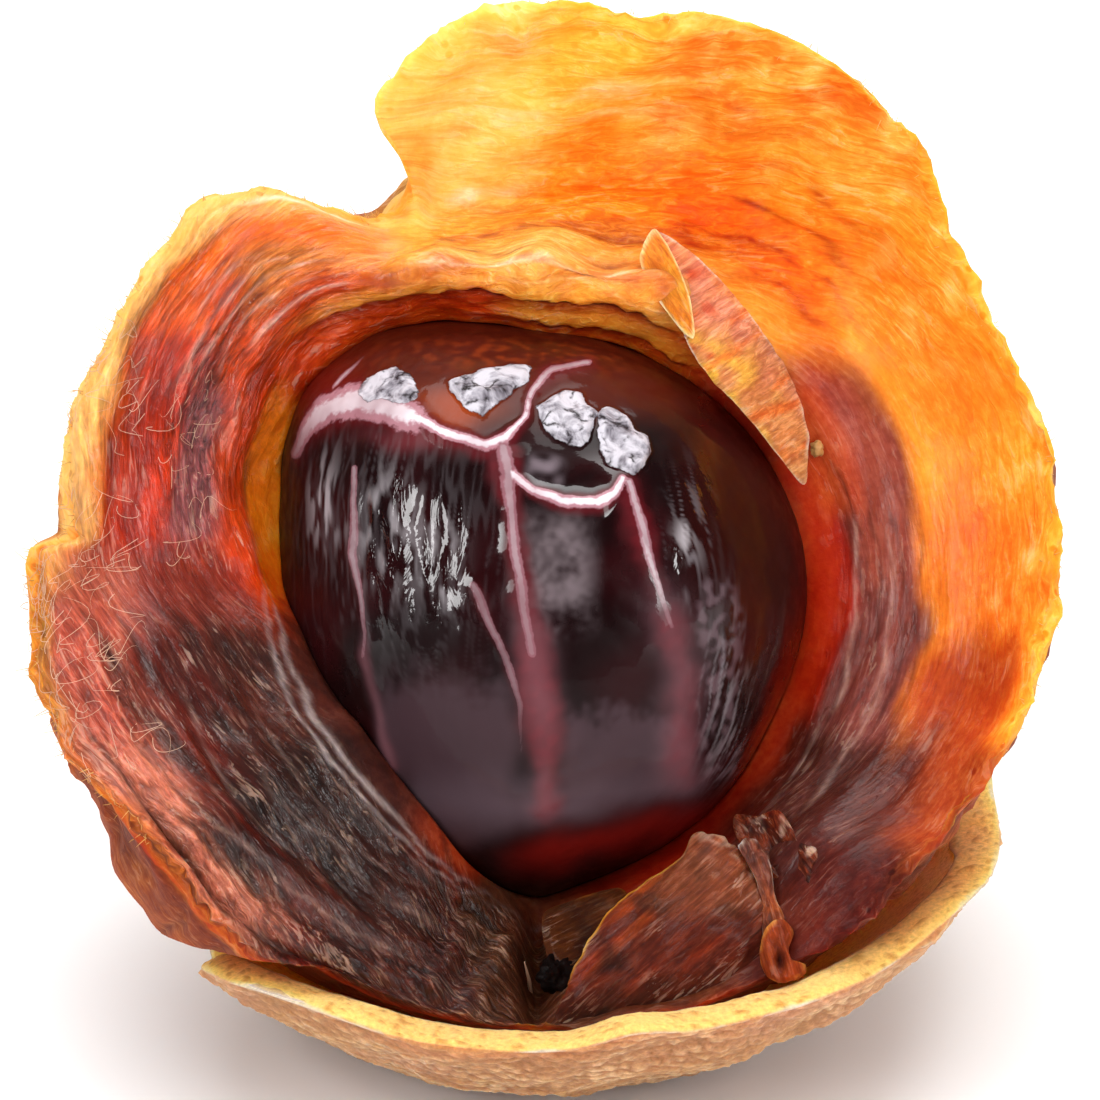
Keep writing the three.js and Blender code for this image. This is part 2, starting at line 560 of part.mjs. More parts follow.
// Crumpled patch of dried membrane above the curl
const PATCH = {
  thickness: 0.7,
  columns: 28,
  depth: (x, y) => 1.3 + 0.95 * (fromMouth(x, y) - 8) + 0.22 * Math.sin(x * 4.2 + y * 2.4),
  outline: [
    [311, 7.2],
    [314.5, 7.0],
    [318, 7.4],
    [319.5, 8.2],
    [318, 9.1],
    [314, 9.4],
    [311, 8.8],
    [310, 7.9],
  ],
};

// Thin sheet between the seed and the tab
const SHEET = {
  thickness: 0.62,
  columns: 24,
  depth: (x, y) => 0.35 + 0.6 * (fromMouth(x, y) - 7.1),
  outline: [
    [270.5, 7.4],
    [275, 7.2],
    [281, 7.05],
    [286, 7.1],
    [287, 7.5],
    [283, 8],
    [279, 8.5],
    [275, 8.9],
    [271.5, 8.6],
    [270.3, 8],
  ],
};

function fleshBody() {
  return skin(FLESH_COLUMNS, FLESH_ROWS.length - 1, (column, row) =>
    fleshPoint(fleshAngles[column], FLESH_ROWS[row]),
  );
}

// Joining of solids
const wasm = await Module();
wasm.setup();

function toSolid(geometry) {
  return new wasm.Manifold(
    new wasm.Mesh({
      numProp: 3,
      vertProperties: new Float32Array(geometry.attributes.position.array),
      triVerts: new Uint32Array(geometry.index.array),
    }),
  );
}

function fromSolid(solid) {
  const mesh = solid.getMesh();
  const geometry = new THREE.BufferGeometry();
  geometry.setAttribute('position', new THREE.BufferAttribute(new Float32Array(mesh.vertProperties), 3));
  geometry.setIndex(Array.from(mesh.triVerts));
  return geometry;
}

const bodyOfFlesh = toSolid(fleshBody());
const tornPieces = [TAB, SHEET, SLIVER, SLIVER_END, CURL, PATCH].map((leaf) => toSolid(leafGeometry(leaf)));
const fleshSolid = tornPieces.reduce((sum, piece) => sum.add(piece), bodyOfFlesh);

// The three pieces, set on the ground
const RIND = new THREE.MeshStandardMaterial({ name: 'rind', color: 0x9c6a3f, roughness: 0.85 });
const DRIED_FLESH = new THREE.MeshStandardMaterial({ name: 'dried_flesh', color: 0xb4501a, roughness: 0.35 });
const SEED_COAT = new THREE.MeshStandardMaterial({ name: 'seed_coat', color: 0x2a0d12, roughness: 0.15 });

function node(name, geometry, material) {
  geometry.translate(0, 0, CENTRE_HEIGHT);
  geometry.computeVertexNormals();
  const mesh = new THREE.Mesh(geometry, material);
  mesh.name = name;
  return mesh;
}

const part = new THREE.Group();
part.name = 'dried_longan';
part.add(node('shell', shellGeometry(), RIND));
part.add(node('flesh', fromSolid(fleshSolid), DRIED_FLESH));
part.add(node('seed', seedGeometry(), SEED_COAT));

export default part;
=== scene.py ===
# %% [markdown]
# # A dried longan, torn open on its broken rind
#
# A longan is a round fruit of about 27 mm with a thin brittle rind. Dried, its flesh turns to a tough, sticky,
# amber-brown cup round one glossy, nearly black seed. Here the fruit is torn open: the seed shows, the flesh
# stands round it in folds and a thin flap, and the last piece of rind lies underneath like a saucer.
#
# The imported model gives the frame: where each piece is, and how big. This script keeps those places and lays
# much finer skins over the same forms, then gives each skin its finish.

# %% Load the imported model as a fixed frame
import math

import bpy
import numpy as np
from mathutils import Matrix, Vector, noise


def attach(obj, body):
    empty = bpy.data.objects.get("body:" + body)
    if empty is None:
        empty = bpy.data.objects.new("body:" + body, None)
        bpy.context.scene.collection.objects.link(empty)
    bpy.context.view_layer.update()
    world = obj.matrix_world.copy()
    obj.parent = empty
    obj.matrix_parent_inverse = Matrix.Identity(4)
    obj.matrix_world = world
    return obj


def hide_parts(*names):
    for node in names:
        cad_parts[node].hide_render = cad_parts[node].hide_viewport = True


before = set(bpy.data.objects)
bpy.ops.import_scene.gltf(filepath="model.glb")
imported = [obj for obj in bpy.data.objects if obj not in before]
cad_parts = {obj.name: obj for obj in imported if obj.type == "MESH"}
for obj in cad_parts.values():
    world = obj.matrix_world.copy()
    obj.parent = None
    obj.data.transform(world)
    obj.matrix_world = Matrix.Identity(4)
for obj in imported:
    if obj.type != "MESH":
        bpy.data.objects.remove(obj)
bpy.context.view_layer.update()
MM = 0.001

# %% [markdown]
# ## The mouth frame
#
# The fruit was torn open on the side that faces the viewer, 30 degrees above the table. All shapes are easier
# to write in a frame that looks into that mouth: x to the right, y up across the mouth, z out of it, in
# millimetres, with its origin in the middle of the fruit. One function turns such points upright, and another
# sets them on the table.

# %% Sizes of the fruit in mm, and the way from the mouth frame to the table
FRUIT_RADIUS, SHELL_WALL, FLOOR_WALL, CLEARANCE, REST_CUT = 13.5, 0.85, 0.66, 0.35, 0.75
CENTRE_HEIGHT = FRUIT_RADIUS - REST_CUT
TILT = math.radians(30)
SEED_MIDDLE = np.array([-0.24, -1.68, -2.0])
MOUTH_X, MOUTH_Y, SEED_DEPTH = SEED_MIDDLE
SEED_HALF, FLESH_BACK = 6.6, -12.2


def xyz(x, y, z=0):
    return np.stack(np.broadcast_arrays(x, y, z), 1)


def upright(p):
    x, y, z = p.T
    s, c = math.sin(TILT), math.cos(TILT)
    return xyz(x, y * s - z * c, y * c + z * s)


def on_table(v):
    return (v + np.array([0, 0, CENTRE_HEIGHT])) * MM


# %% [markdown]
# ## Curves and lumps
#
# A torn fruit has no straight line in it. Its outlines are closed curves through a few measured radii, given
# by the angle round the mouth. Its lumps come from two kinds of unevenness: `ripple`, a few bent waves that
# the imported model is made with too, so that the big lumps agree, and Perlin noise for everything finer.

# %% Helpers for curves
def smooth(low, high, x):
    """A soft step from 0 at low to 1 at high. When low is the larger of the two, it falls with x."""
    t = np.clip((x - low) / (high - low), 0, 1)
    return t * t * (3 - 2 * t)


def between(low, high, soft, x):
    return smooth(low - soft, low + soft, x) * smooth(high + soft, high - soft, x)


def bell(x, middle, half):
    return np.exp(-(((x - middle) / half) ** 2))


def angle_gap(a, b):
    return np.abs((a - b + 180) % 360 - 180)


def side(angle, middle, half):
    """1 at an angle round the mouth, fading to both sides of it."""
    return bell(angle_gap(angle, middle), 0, half)


def hermite(a, b, leaving, arriving, t):
    return a + leaving * t + (3 * (b - a) - 2 * leaving - arriving) * t**2 + (2 * (a - b) + leaving + arriving) * t**3


def round_table(rows):
    """A smooth closed curve through rows of (angle, value, value, ...), never past its own points."""
    table = np.array(rows, float)
    angle = np.concatenate([table[-2:, 0] - 360, table[:, 0], table[:3, 0] + 360])
    value = np.concatenate([table[-2:, 1:], table[:, 1:], table[:3, 1:]])
    gap = np.diff(angle)[:, None]
    slope = np.diff(value, axis=0) / gap
    before, after, h0, h1 = slope[:-1], slope[1:], gap[:-1], gap[1:]
    with np.errstate(divide="ignore", invalid="ignore"):
        mean = 3 * (h0 + h1) / ((2 * h1 + h0) / before + (h1 + 2 * h0) / after)
    tangent = np.zeros_like(value)
    tangent[1:-1] = np.where(before * after > 0, mean, 0)

    def at(a):
        a = np.asarray(a, float) % 360
        i = np.clip(np.searchsorted(angle, a, side="right") - 1, 1, len(angle) - 3)
        h = (angle[i + 1] - angle[i])[:, None]
        return hermite(value[i], value[i + 1], h * tangent[i], h * tangent[i + 1], (a - angle[i])[:, None] / h)

    return at


def catmull_rom(p0, p1, p2, p3, t):
    """The centripetal curve from p1 to p2, which never loops, so a fold stays a fold where points are close."""
    d0, d1, d2 = (np.sqrt(np.linalg.norm(b - a, axis=1))[:, None] for a, b in ((p0, p1), (p1, p2), (p2, p3)))
    d1 = np.where(d1 < 1e-4, 1, d1)
    d0, d2 = np.where(d0 < 1e-4, d1, d0), np.where(d2 < 1e-4, d1, d2)
    leaving = ((p1 - p0) / d0 - (p2 - p0) / (d0 + d1) + (p2 - p1) / d1) * d1
    arriving = ((p2 - p1) / d1 - (p3 - p1) / (d1 + d2) + (p3 - p2) / d2) * d1
    return hermite(p1, p2, leaving, arriving, t)


# %% Helpers for lumps
WAVES = np.array(
    [[0.8, 0.36, 0.48, 1, 1.7], [-0.48, 0.8, 0.36, 1.19, 2.9], [0.36, -0.48, 0.8, 0.87, 4.1],
     [0.58, 0.58, -0.58, 1.37, 5.3]]
)
CORNERS = [np.array(corner) for corner in np.ndindex(2, 2, 2)]


def ripple(p, size, seed):
    """Bent waves, between about -0.6 and 0.6, in lumps of that size."""
    k = math.pi / (1.1 * size)
    total = 0
    for wave, other in zip(WAVES, np.roll(WAVES, -1, axis=0)):
        rate, phase = wave[3:]
        bend = np.sin(0.63 * k * (p @ other[:3]) + 0.7 * phase * seed)
        total = total + np.sin(k * rate * (p @ wave[:3]) + phase * seed + 1.1 * bend)
    return 0.2 * total


def hashed(cell):
    """A different, always the same number for every whole-numbered cell."""
    x, y, z = cell.astype(np.int64).astype(np.uint64).T
    h = (x * np.uint64(73856093)) ^ (y * np.uint64(19349663)) ^ (z * np.uint64(83492791))
    h = (h ^ (h >> np.uint64(13))) * np.uint64(1274126177)
    h = (h ^ (h >> np.uint64(29))) * np.uint64(2654435761)
    return h ^ (h >> np.uint64(17))


def parts_of(h):
    """Three numbers between -1 and 1 out of each hash."""
    return xyz(*(((h >> np.uint64(s)) & np.uint64(1023)).astype(float) / 511.5 - 1 for s in (0, 10, 20)))


def cloud(p, size, seed=0.0):
    """Perlin noise, between about -1 and 1. A size of three numbers stretches it."""
    q = p / np.asarray(size, float) + seed * np.array([7.13, 3.71, 5.37])
    cell = np.floor(q)
    f = q - cell
    u = f * f * f * (f * (f * 6 - 15) + 10)
    total = np.zeros(len(p))
    for corner in CORNERS:
        share = np.prod(np.where(corner, u, 1 - u), axis=1)
        total += share * np.einsum("ij,ij->i", parts_of(hashed(cell + corner)), f - corner)
    return 1.25 * total


def ridged(p, size, seed=0.0):
    """Sharp crests between round hollows, from 0 to 1."""
    return 1 - np.abs(cloud(p, size, seed)) * 1.8


BREAK_RADIUS = 11  # mm, about where the rind broke


def on_circle(angle):
    """Points for noise that only changes round the mouth."""
    a = np.radians(angle)
    return xyz(BREAK_RADIUS * np.cos(a), BREAK_RADIUS * np.sin(a))


# %% [markdown]
# ## One way to lay a skin
#
# Every piece here is a closed lump with a skin full of folds. Sculpting would do, but a sculpt can't be
# repeated exactly. So each piece starts as a grid that is rolled up into a ball, with its seam and its two
# poles merged. That gives clean rings and columns, and every ring and column is then moved to its place on
# the real form. A UV sphere would do the same, but takes ten times longer at this fineness.

# %% Roll a grid up into a ball and lay it over a form
def edit_all(operator, **settings):
    bpy.ops.object.mode_set(mode="EDIT")
    bpy.ops.mesh.select_all(action="SELECT")
    operator(**settings)
    bpy.ops.object.mode_set(mode="OBJECT")


def points_of(piece):
    points = np.empty(len(piece.data.vertices) * 3)
    piece.data.vertices.foreach_get("co", points)
    return points.reshape(-1, 3).T


def lay_skin(name, columns, rings, place):
    """place(column, ring) gives points about the fruit's middle, and their fields. Ring 0 is a pole."""
    bpy.ops.object.select_all(action="DESELECT")
    bpy.ops.mesh.primitive_grid_add(x_subdivisions=columns, y_subdivisions=rings, size=2)
    piece = bpy.context.object
    piece.name = piece.data.name = name
    x, y, _ = points_of(piece)
    around, down = (x + 1) * math.pi, (1 - y) * math.pi / 2
    ball = xyz(np.sin(down) * np.cos(around), np.sin(down) * np.sin(around), np.cos(down))
    piece.data.vertices.foreach_set("co", ball.ravel())
    edit_all(bpy.ops.mesh.remove_doubles, threshold=1e-5)
    x, y, z = points_of(piece)
    ring = np.rint(np.arccos(np.clip(z, -1, 1)) / math.pi * rings).astype(int)
    column = np.rint(np.arctan2(y, x) / math.tau * columns).astype(int) % columns
    points, fields = place(column, ring)
    piece.data.vertices.foreach_set("co", on_table(points).ravel())
    piece.data.update()
    edit_all(bpy.ops.mesh.normals_make_consistent, inside=False)
    bpy.ops.object.shade_smooth()
    piece.data.calc_loop_triangles()
    print(f"{name}: {len(piece.data.loop_triangles)} triangles, {np.ptp(points, axis=0).round(1)} mm")
    return piece, fields


def keep_field(piece, name, values):
    """Stores one number or vector a vertex, for the material to read."""
    kind, key = ("FLOAT", "value") if values.ndim == 1 else ("FLOAT_VECTOR", "vector")
    field = piece.data.attributes.new(name, kind, "POINT")
    field.data.foreach_set(key, values.astype(np.float32).ravel())


def crowded(count, density):
    """Splits 0 to 1 into count steps that are smaller where density(share) is higher."""
    share = np.linspace(0, 1, 3601)
    total = np.concatenate([[0], np.cumsum(density(share[:-1]))])
    return np.interp(np.linspace(0, total[-1], count + 1), total, share)


# %% [markdown]
# ## Colour
#
# Dried flesh goes from clear yellow where it is thin to nearly black where it is thick and folded. No single
# pattern gives that, so the colour is painted on the mesh: a list of strokes, each a named colour with a soft
# edge, laid over each other like glazes. The material reads the result and adds the fine grain itself.

# %% Paint with soft strokes
def linear(hex_colour):
    """sRGB hex to linear light."""
    c = np.array([int(hex_colour[i : i + 2], 16) / 255 for i in (1, 3, 5)])
    return np.where(c <= 0.04045, c / 12.92, ((c + 0.055) / 1.055) ** 2.4)


def paint_piece(piece, base, glazes):
    """Colours every vertex: a base, and glazes of (colour, amount) laid over it in their order."""
    count = len(piece.data.vertices)
    paint = np.ones((count, 4))
    paint[:, :3] = linear(base)
    for colour, amount in glazes:
        amount = np.clip(amount, 0, 1)[:, None]
        paint[:, :3] = paint[:, :3] * (1 - amount) + linear(colour) * amount
    field = piece.data.color_attributes.new("paint", "FLOAT_COLOR", "POINT")
    field.data.foreach_set("color", paint.astype(np.float32).ravel())


# %% [markdown]
# ## The rind
#
# The rind is a brittle skin 0.85 mm thick. Outside it is covered in flat pebbles about half a millimetre
# across, inside it is smoother and tan, and where it broke the edge is ragged, pale and porous. A sphere is
# laid out as a bowl: its rings run up the outside, over the broken edge and down the inside.

# %% The broken edge of the rind: angle, height
shell_edge = round_table([
    (0, -7.9), (22, -7.5), (40, -7.2), (52, -8.1), (66, -8.5), (84, -7.6), (104, -7.1), (122, -7.8),
    (136, -8.3), (148, -9.2), (162, -10.2), (180, -10.6), (196, -10.4), (205, -9.9), (211, -9.1),
    (220, -8.3), (237, -7.6), (250, -7.9), (261, -8.1), (272, -7.9), (281, -7.25), (288, -7.5),
    (297, -7.5), (311, -7.6), (322, -7.25), (332, -7.0), (345, -7.4),
])


def torn_edge(angle):
    return shell_edge(angle)[:, 0] + 0.14 * ripple(on_circle(angle), 1.5, 3)


# %% Rind: pebbled bowl with a porous broken edge
SHELL_COLUMNS, SHELL_OUTER, SHELL_LIP, SHELL_INNER = 420, 118, 26, 74
SHELL_RINGS = SHELL_OUTER + SHELL_LIP + SHELL_INNER
FLAT_SHARE, PEBBLE = 0.16, 0.4
shell_angles = 360 * crowded(SHELL_COLUMNS, lambda s: 1 + 0.8 * side(360 * s, 208, 6))[:-1]


def pebbles(p, size):
    """Flat round grains with narrow grooves between them, from 0 to 1."""
    q = p / size
    cell = np.floor(q)
    near = next_near = np.full(len(p), np.inf)
    for step in np.ndindex(3, 3, 3):
        other = cell + np.array(step) - 1
        d = np.linalg.norm(other + 0.5 + 0.42 * parts_of(hashed(other)) - q, axis=1)
        next_near = np.minimum(next_near, np.maximum(near, d))
        near = np.minimum(near, d)
    return smooth(0.0, 0.42, next_near - near)


def place_shell(column, ring):
    angle = shell_angles[column]
    circle, a, edge = on_circle(angle), np.radians(angle), torn_edge(angle)
    is_outer = ring <= SHELL_OUTER
    over = smooth(SHELL_OUTER, SHELL_OUTER + SHELL_LIP, ring) * math.pi
    lip, across = np.sin(over), np.cos(over)
    share = np.clip(np.where(is_outer, ring / SHELL_OUTER, (SHELL_RINGS - ring) / SHELL_INNER), 0, 1)
    radius = FRUIT_RADIUS - 0.5 * SHELL_WALL * (1 - across)
    inner_edge = edge - 0.1 + 0.3 * ripple(circle, 1.4, 5)
    ragged = 0.1 + 0.5 * ripple(circle, 1.2, 8) + 0.16 * cloud(circle, 0.45, 3) + 0.1 * cloud(circle, 0.2, 4)
    low = 0.5 * (edge * (1 + across) + inner_edge * (1 - across)) + lip * (0.25 * ragged + 0.12)
    floor = CENTRE_HEIGHT - np.where(is_outer, 0, FLOOR_WALL)
    flat_turn, top_turn = (np.arccos(np.clip(v / radius, -1, 1)) for v in (floor, -low))
    up = np.clip((share - FLAT_SHARE) / (1 - FLAT_SHARE), 0, 1)
    turn = flat_turn * np.minimum(share / FLAT_SHARE, 1) + (top_turn - flat_turn) * up
    reach = np.where(share < FLAT_SHARE, floor / np.cos(turn), radius)
    p = xyz(np.sin(turn) * np.cos(a), np.sin(turn) * np.sin(a), -np.cos(turn)) * reach[:, None]
    wall = smooth(FLAT_SHARE, 0.42, share)
    outside, inside = is_outer * wall, (ring >= SHELL_OUTER + SHELL_LIP) * wall
    grains, pores = pebbles(p, PEBBLE), cloud(p, 0.22, 6) + 0.6 * cloud(p, 0.11, 7)
    h = outside * (0.2 * ripple(p, 1.3, 3) + 0.14 * ripple(p, 2.7, 7) + 0.06 * (grains - 0.7) + 0.04 * cloud(p, 0.2, 8))
    h += inside * (0.1 * np.abs(ripple(p, 2.2, 11)) + 0.05 * cloud(p, 0.5, 9) + 0.03 * cloud(p, 0.2, 5))
    h -= lip * 0.09 * np.clip(pores, -0.3, 1)
    p = p * (1 + h / np.maximum(reach, 1))[:, None]
    p[:, 2] = np.maximum(p[:, 2], -CENTRE_HEIGHT)
    return p, (p, lip, outside, inside, grains, pores)


rind, shell_fields = lay_skin("rind_fragment", SHELL_COLUMNS, SHELL_RINGS, place_shell)

# %% Paint the rind
RIND_BROWN, RIND_TAN, RIND_ROSE = "#B98258", "#DDB083", "#C58C70"
RIND_DARK, RIND_CREAM, RIND_SPECK, RIND_INSIDE = "#8E5E38", "#ECB86A", "#A8702E", "#FFD49C"
p, lip, outside, inside, grains, pores = shell_fields
inner_side = smooth(0.0, 0.3, inside)
paint_piece(rind, RIND_BROWN, [
    (RIND_TAN, 0.9 * smooth(-0.15, 0.55, cloud(p, 1.7, 11)) * grains),
    (RIND_ROSE, 0.55 * smooth(0.0, 0.5, cloud(p, 2.6, 12))),
    # painted shade: darker in the grooves between the pebbles
    (RIND_DARK, 0.55 * (1 - grains) * (outside > 0)),
    # painted light: the inner face is painted lighter than its own tan, standing in for light that the flesh above
    # keeps off it
    (RIND_INSIDE, inner_side),
    (RIND_DARK, 0.18 * inner_side * smooth(0.1, 0.6, cloud(p, 0.8, 13))),
    (RIND_CREAM, smooth(0.15, 0.6, lip)),
    (RIND_SPECK, 0.8 * smooth(0.25, 0.6, lip) * smooth(0.15, 0.5, pores)),
])

# %% [markdown]
# ## The flesh
#
# The flesh is one cup, but each side of it looks different: a thin flap at the back, a lobe at the left, a
# dark mass folded over the seed at the lower left, a seam, and a wall at the right. It is written as
# cross-sections round the mouth. Each starts behind the seed, leaves it at the mouth, climbs over lip, crest
# and valley to the rim, and goes round the back. A curve runs through each section's points, and between the
# sections the points glide.

# %% Outline of the seed, which the flesh is wrapped round: angle, radius
seed_outline = round_table([
    (0, 6.5), (20, 6.62), (45, 6.65), (70, 6.72), (90, 6.85), (100, 7.1), (112, 7.55), (124, 7.9),
    (134, 7.92), (146, 7.55), (158, 6.95), (172, 6.55), (190, 6.4), (215, 6.4), (238, 6.6),
    (256, 6.95), (268, 7.1), (280, 6.8), (296, 6.58), (314, 6.45), (334, 6.32), (348, 6.4),
])

# %% Sections of the flesh: angle, latitude on the seed, nine pairs of radius and depth, lean of the rim
flesh_section = round_table([
    (0, 5, 7, -1.25, 7.45, -1.05, 8.25, -0.75, 9.3, -0.7, 10.5, -0.2, 11.8, 0.9, 12.45, 1.6, 12.6, 0.8, 12.5, -1, 0),
    (20, 5, 7.1, -1.3, 7.55, -1.2, 8.35, -0.95, 9.5, -1, 10.7, -0.7, 12.1, 0.3, 12.95, 1, 12.95, 0.1, 12.7, -1.8, 0),
    (35, 4, 7.12, -1.35, 7.6, -1.25, 8.4, -1.1, 9.6, -1.3, 10.8, -1.1, 12.2, 0, 13.04, 0.8, 12.9, -0.2, 12.5, -2.6, 0),
    (42, 4, 7.12, -1.3, 7.6, -1.1, 8.4, -0.95, 9.6, -1.5, 11, -1.4, 12.6, -0.2, 13.5, 0.5, 13.2, -0.7, 12.4, -3.4, 0),
    (50, 4, 7.1, -1.2, 7.5, -0.8, 8.4, -0.45, 9.6, -1.5, 11.2, -1.8, 13.3, -0.6, 14.5, 0.2, 13.9, -1.2, 12.2, -4.6, 0),
    (65, 4, 7.18, -1, 7.48, -0.3, 8.3, 0.1, 9.5, -1.7, 11, -2.6, 13.6, -1.4, 15.2, -0.4, 14.4, -1.9, 11.3, -5.8, 0),
    (79, 6, 7.22, -0.8, 7.42, 0, 8.3, 0.45, 9.3, -1.6, 10.7, -2.9, 13.3, -1.9, 14.85, -0.9, 14.1, -2.3, 11, -6.1, 0),
    (92, 7, 7.32, -0.7, 7.52, 0.05, 8.35, 0.5, 9.2, -1.4, 10.6, -3, 13, -2, 14.6, -1, 13.9, -2.4, 10.9, -6.2, 0),
    (101, 6, 7.58, -0.8, 7.8, 0, 8.55, 0.4, 9.3, -1.3, 10.6, -2.9, 12.7, -2.1, 14, -1.3, 13.5, -2.6, 10.9, -6, 0.6),
    (104.5, 5, 7.72, -0.9, 7.95, -0.1, 8.65, 0.35, 9.35, -1.2, 10.5, -2.6, 12, -2.1, 12.95, -1.6, 12.5, -2.9, 10.8,
     -5.9, 4),
    (106, 5, 7.8, -0.95, 8.02, -0.15, 8.68, 0.25, 9.3, -1, 10.1, -2.2, 11.1, -2.3, 11.8, -2.1, 11.5, -3.2, 10.75, -5.6,
     1.4),
    (107.5, 4, 7.86, -1, 8.1, -0.2, 8.7, 0.2, 9.25, -0.7, 9.8, -1.7, 10.4, -2.1, 10.85, -2.5, 10.95, -3.5, 10.75, -5.4,
     0),
    (113, 4, 8.08, -1, 8.35, -0.3, 8.8, 0.1, 9.25, -0.3, 9.7, -1.1, 10.05, -1.6, 10.3, -2.3, 10.45, -3.3, 10.5, -5.2,
     0),
    (118, 3, 8.26, -1.1, 8.55, -0.4, 9, 0, 9.55, -0.2, 10.1, -0.6, 10.6, -0.9, 10.88, -1.5, 11, -2.5, 10.9, -4.6, 0),
    (124, 3, 8.42, -1.2, 8.75, -0.6, 9.4, -0.1, 10.15, 0, 10.9, 0.1, 11.6, 0.1, 12.05, -0.4, 12.05, -1.4, 11.7, -3.4,
     0),
    (130, 3, 8.44, -1.3, 8.85, -0.8, 9.6, -0.2, 10.5, 0.2, 11.4, 0.5, 12.2, 0.7, 12.67, 0.4, 12.7, -0.5, 12.3, -2.4, 0),
    (150, 5, 7.87, -1.1, 8.3, -0.5, 9.1, 0.3, 10, 0.9, 11, 1.4, 11.9, 1.8, 12.3, 1.6, 12.4, 0.8, 12.2, -1.2, 0),
    (164, 8, 7.22, -0.75, 7.55, 0.2, 8.4, 1.2, 9.4, 1.7, 10.4, 2.2, 11.5, 2.5, 11.98, 2.3, 12.1, 1.4, 12.05, -0.6, 0),
    (171, 10, 6.95, -0.4, 7.2, 0.7, 8.2, 1.6, 9.3, 2.1, 10.3, 2.5, 11.1, 2.7, 11.5, 2.5, 11.65, 1.6, 11.75, -0.3, 0),
    (173.5, 11, 6.85, -0.25, 7.1, 0.8, 8.2, 1.7, 9.4, 2.2, 10.6, 2.6, 11.8, 2.7, 12.4, 2.4, 12.45, 1.5, 12.35, -0.2, 0),
    (185, 18, 6.2, 1.05, 6.75, 1.9, 8, 2.6, 9.3, 3, 10.6, 3.2, 11.7, 3.2, 12.25, 2.7, 12.35, 1.9, 12.35, 0, 0),
    (197, 25, 5.95, 1.7, 6.6, 2.5, 7.8, 3.1, 9, 3.6, 10.2, 3.9, 11.3, 3.9, 11.8, 3.4, 12, 2.6, 12.05, 0.6, 0),
    (206, 28, 5.82, 2.1, 6.5, 2.8, 7.7, 3.4, 8.9, 4, 10, 4.5, 10.8, 4.8, 11.2, 4.5, 11.5, 3.7, 12.1, 0.9, 0),
    (214, 30, 5.7, 2.4, 6.4, 3, 7.6, 3.5, 8.8, 4.2, 9.8, 4.8, 10.5, 5.2, 10.85, 5.1, 11.35, 4.3, 12.25, 1, 0),
    (222, 30, 5.75, 2.4, 6.4, 2.95, 7.55, 3.4, 8.7, 4, 9.75, 4.6, 10.5, 5, 10.9, 4.9, 11.35, 4.1, 12.25, 1, 0),
    (230, 30, 5.88, 2.3, 6.42, 2.75, 7.5, 3.1, 8.6, 3.7, 9.6, 4.3, 10.45, 4.6, 10.85, 4.4, 11.25, 3.7, 11.75, 0.9, 0),
    (243, 24, 6.25, 1.9, 6.8, 2.5, 7.8, 2.8, 8.7, 3.2, 9.5, 3.6, 10.1, 3.7, 10.4, 3.4, 10.6, 2.6, 10.9, 0.8, 0),
    (257, 10, 6.95, 0.4, 7.35, 1.2, 7.95, 1.7, 8.7, 2.3, 9.4, 2.8, 10, 3.2, 10.35, 3.1, 10.5, 2.3, 10.65, 0.6, 0),
    (266, 4, 7.45, -0.9, 7.7, 0.1, 8.1, 0.9, 8.7, 1.5, 9.4, 2.1, 9.95, 2.8, 10.3, 2.9, 10.45, 2.2, 10.6, 0.4, 0),
    (270, 0, 7.5, -1.5, 7.7, -0.8, 8, -0.2, 8.6, 0.4, 9.3, 1.2, 9.9, 2.3, 10.25, 2.7, 10.4, 2, 10.6, 0.3, 0),
    (276, 0, 7.35, -1.5, 7.55, -0.5, 7.8, 0.2, 8.45, 0.9, 9.3, 1.8, 9.95, 2.6, 10.3, 2.8, 10.5, 2.1, 10.7, 0.4, 0),
    (290, 0, 7.14, -1.4, 7.36, -0.3, 7.7, 0.6, 8.4, 1.3, 9.3, 2.1, 10, 2.8, 10.4, 3, 10.6, 2.3, 10.8, 0.6, 0),
    (305, 0, 7.02, -1.4, 7.25, -0.3, 7.75, 0.7, 8.6, 1.6, 9.6, 2.5, 10.4, 3.1, 10.9, 3.2, 11.05, 2.4, 11.1, 0.8, 0),
    (318, 2, 6.9, -1.3, 7.1, -0.4, 7.75, 0.6, 8.6, 1.8, 9.5, 2.7, 10.3, 3.3, 10.75, 3.5, 11, 2.7, 11.05, 0.6, 0),
    (332, 4, 6.84, -1.3, 7.15, -0.8, 7.85, 0, 8.8, 0.8, 9.8, 1.6, 10.7, 2.6, 11.15, 3.1, 11.35, 2.2, 11.45, 0, 0),
    (346, 5, 6.88, -1.3, 7.25, -0.95, 8.05, -0.5, 9.1, -0.1, 10.3, 0.6, 11.3, 1.7, 11.8, 2.4, 12, 1.4, 11.95, -0.6, 0),
])

# %% [markdown]
# Rows count along a section: 4 is the mouth, 5 the lip, 7 the crest, 8 the valley, 11 the rim, 13 the shoulder
# and 16 the back.

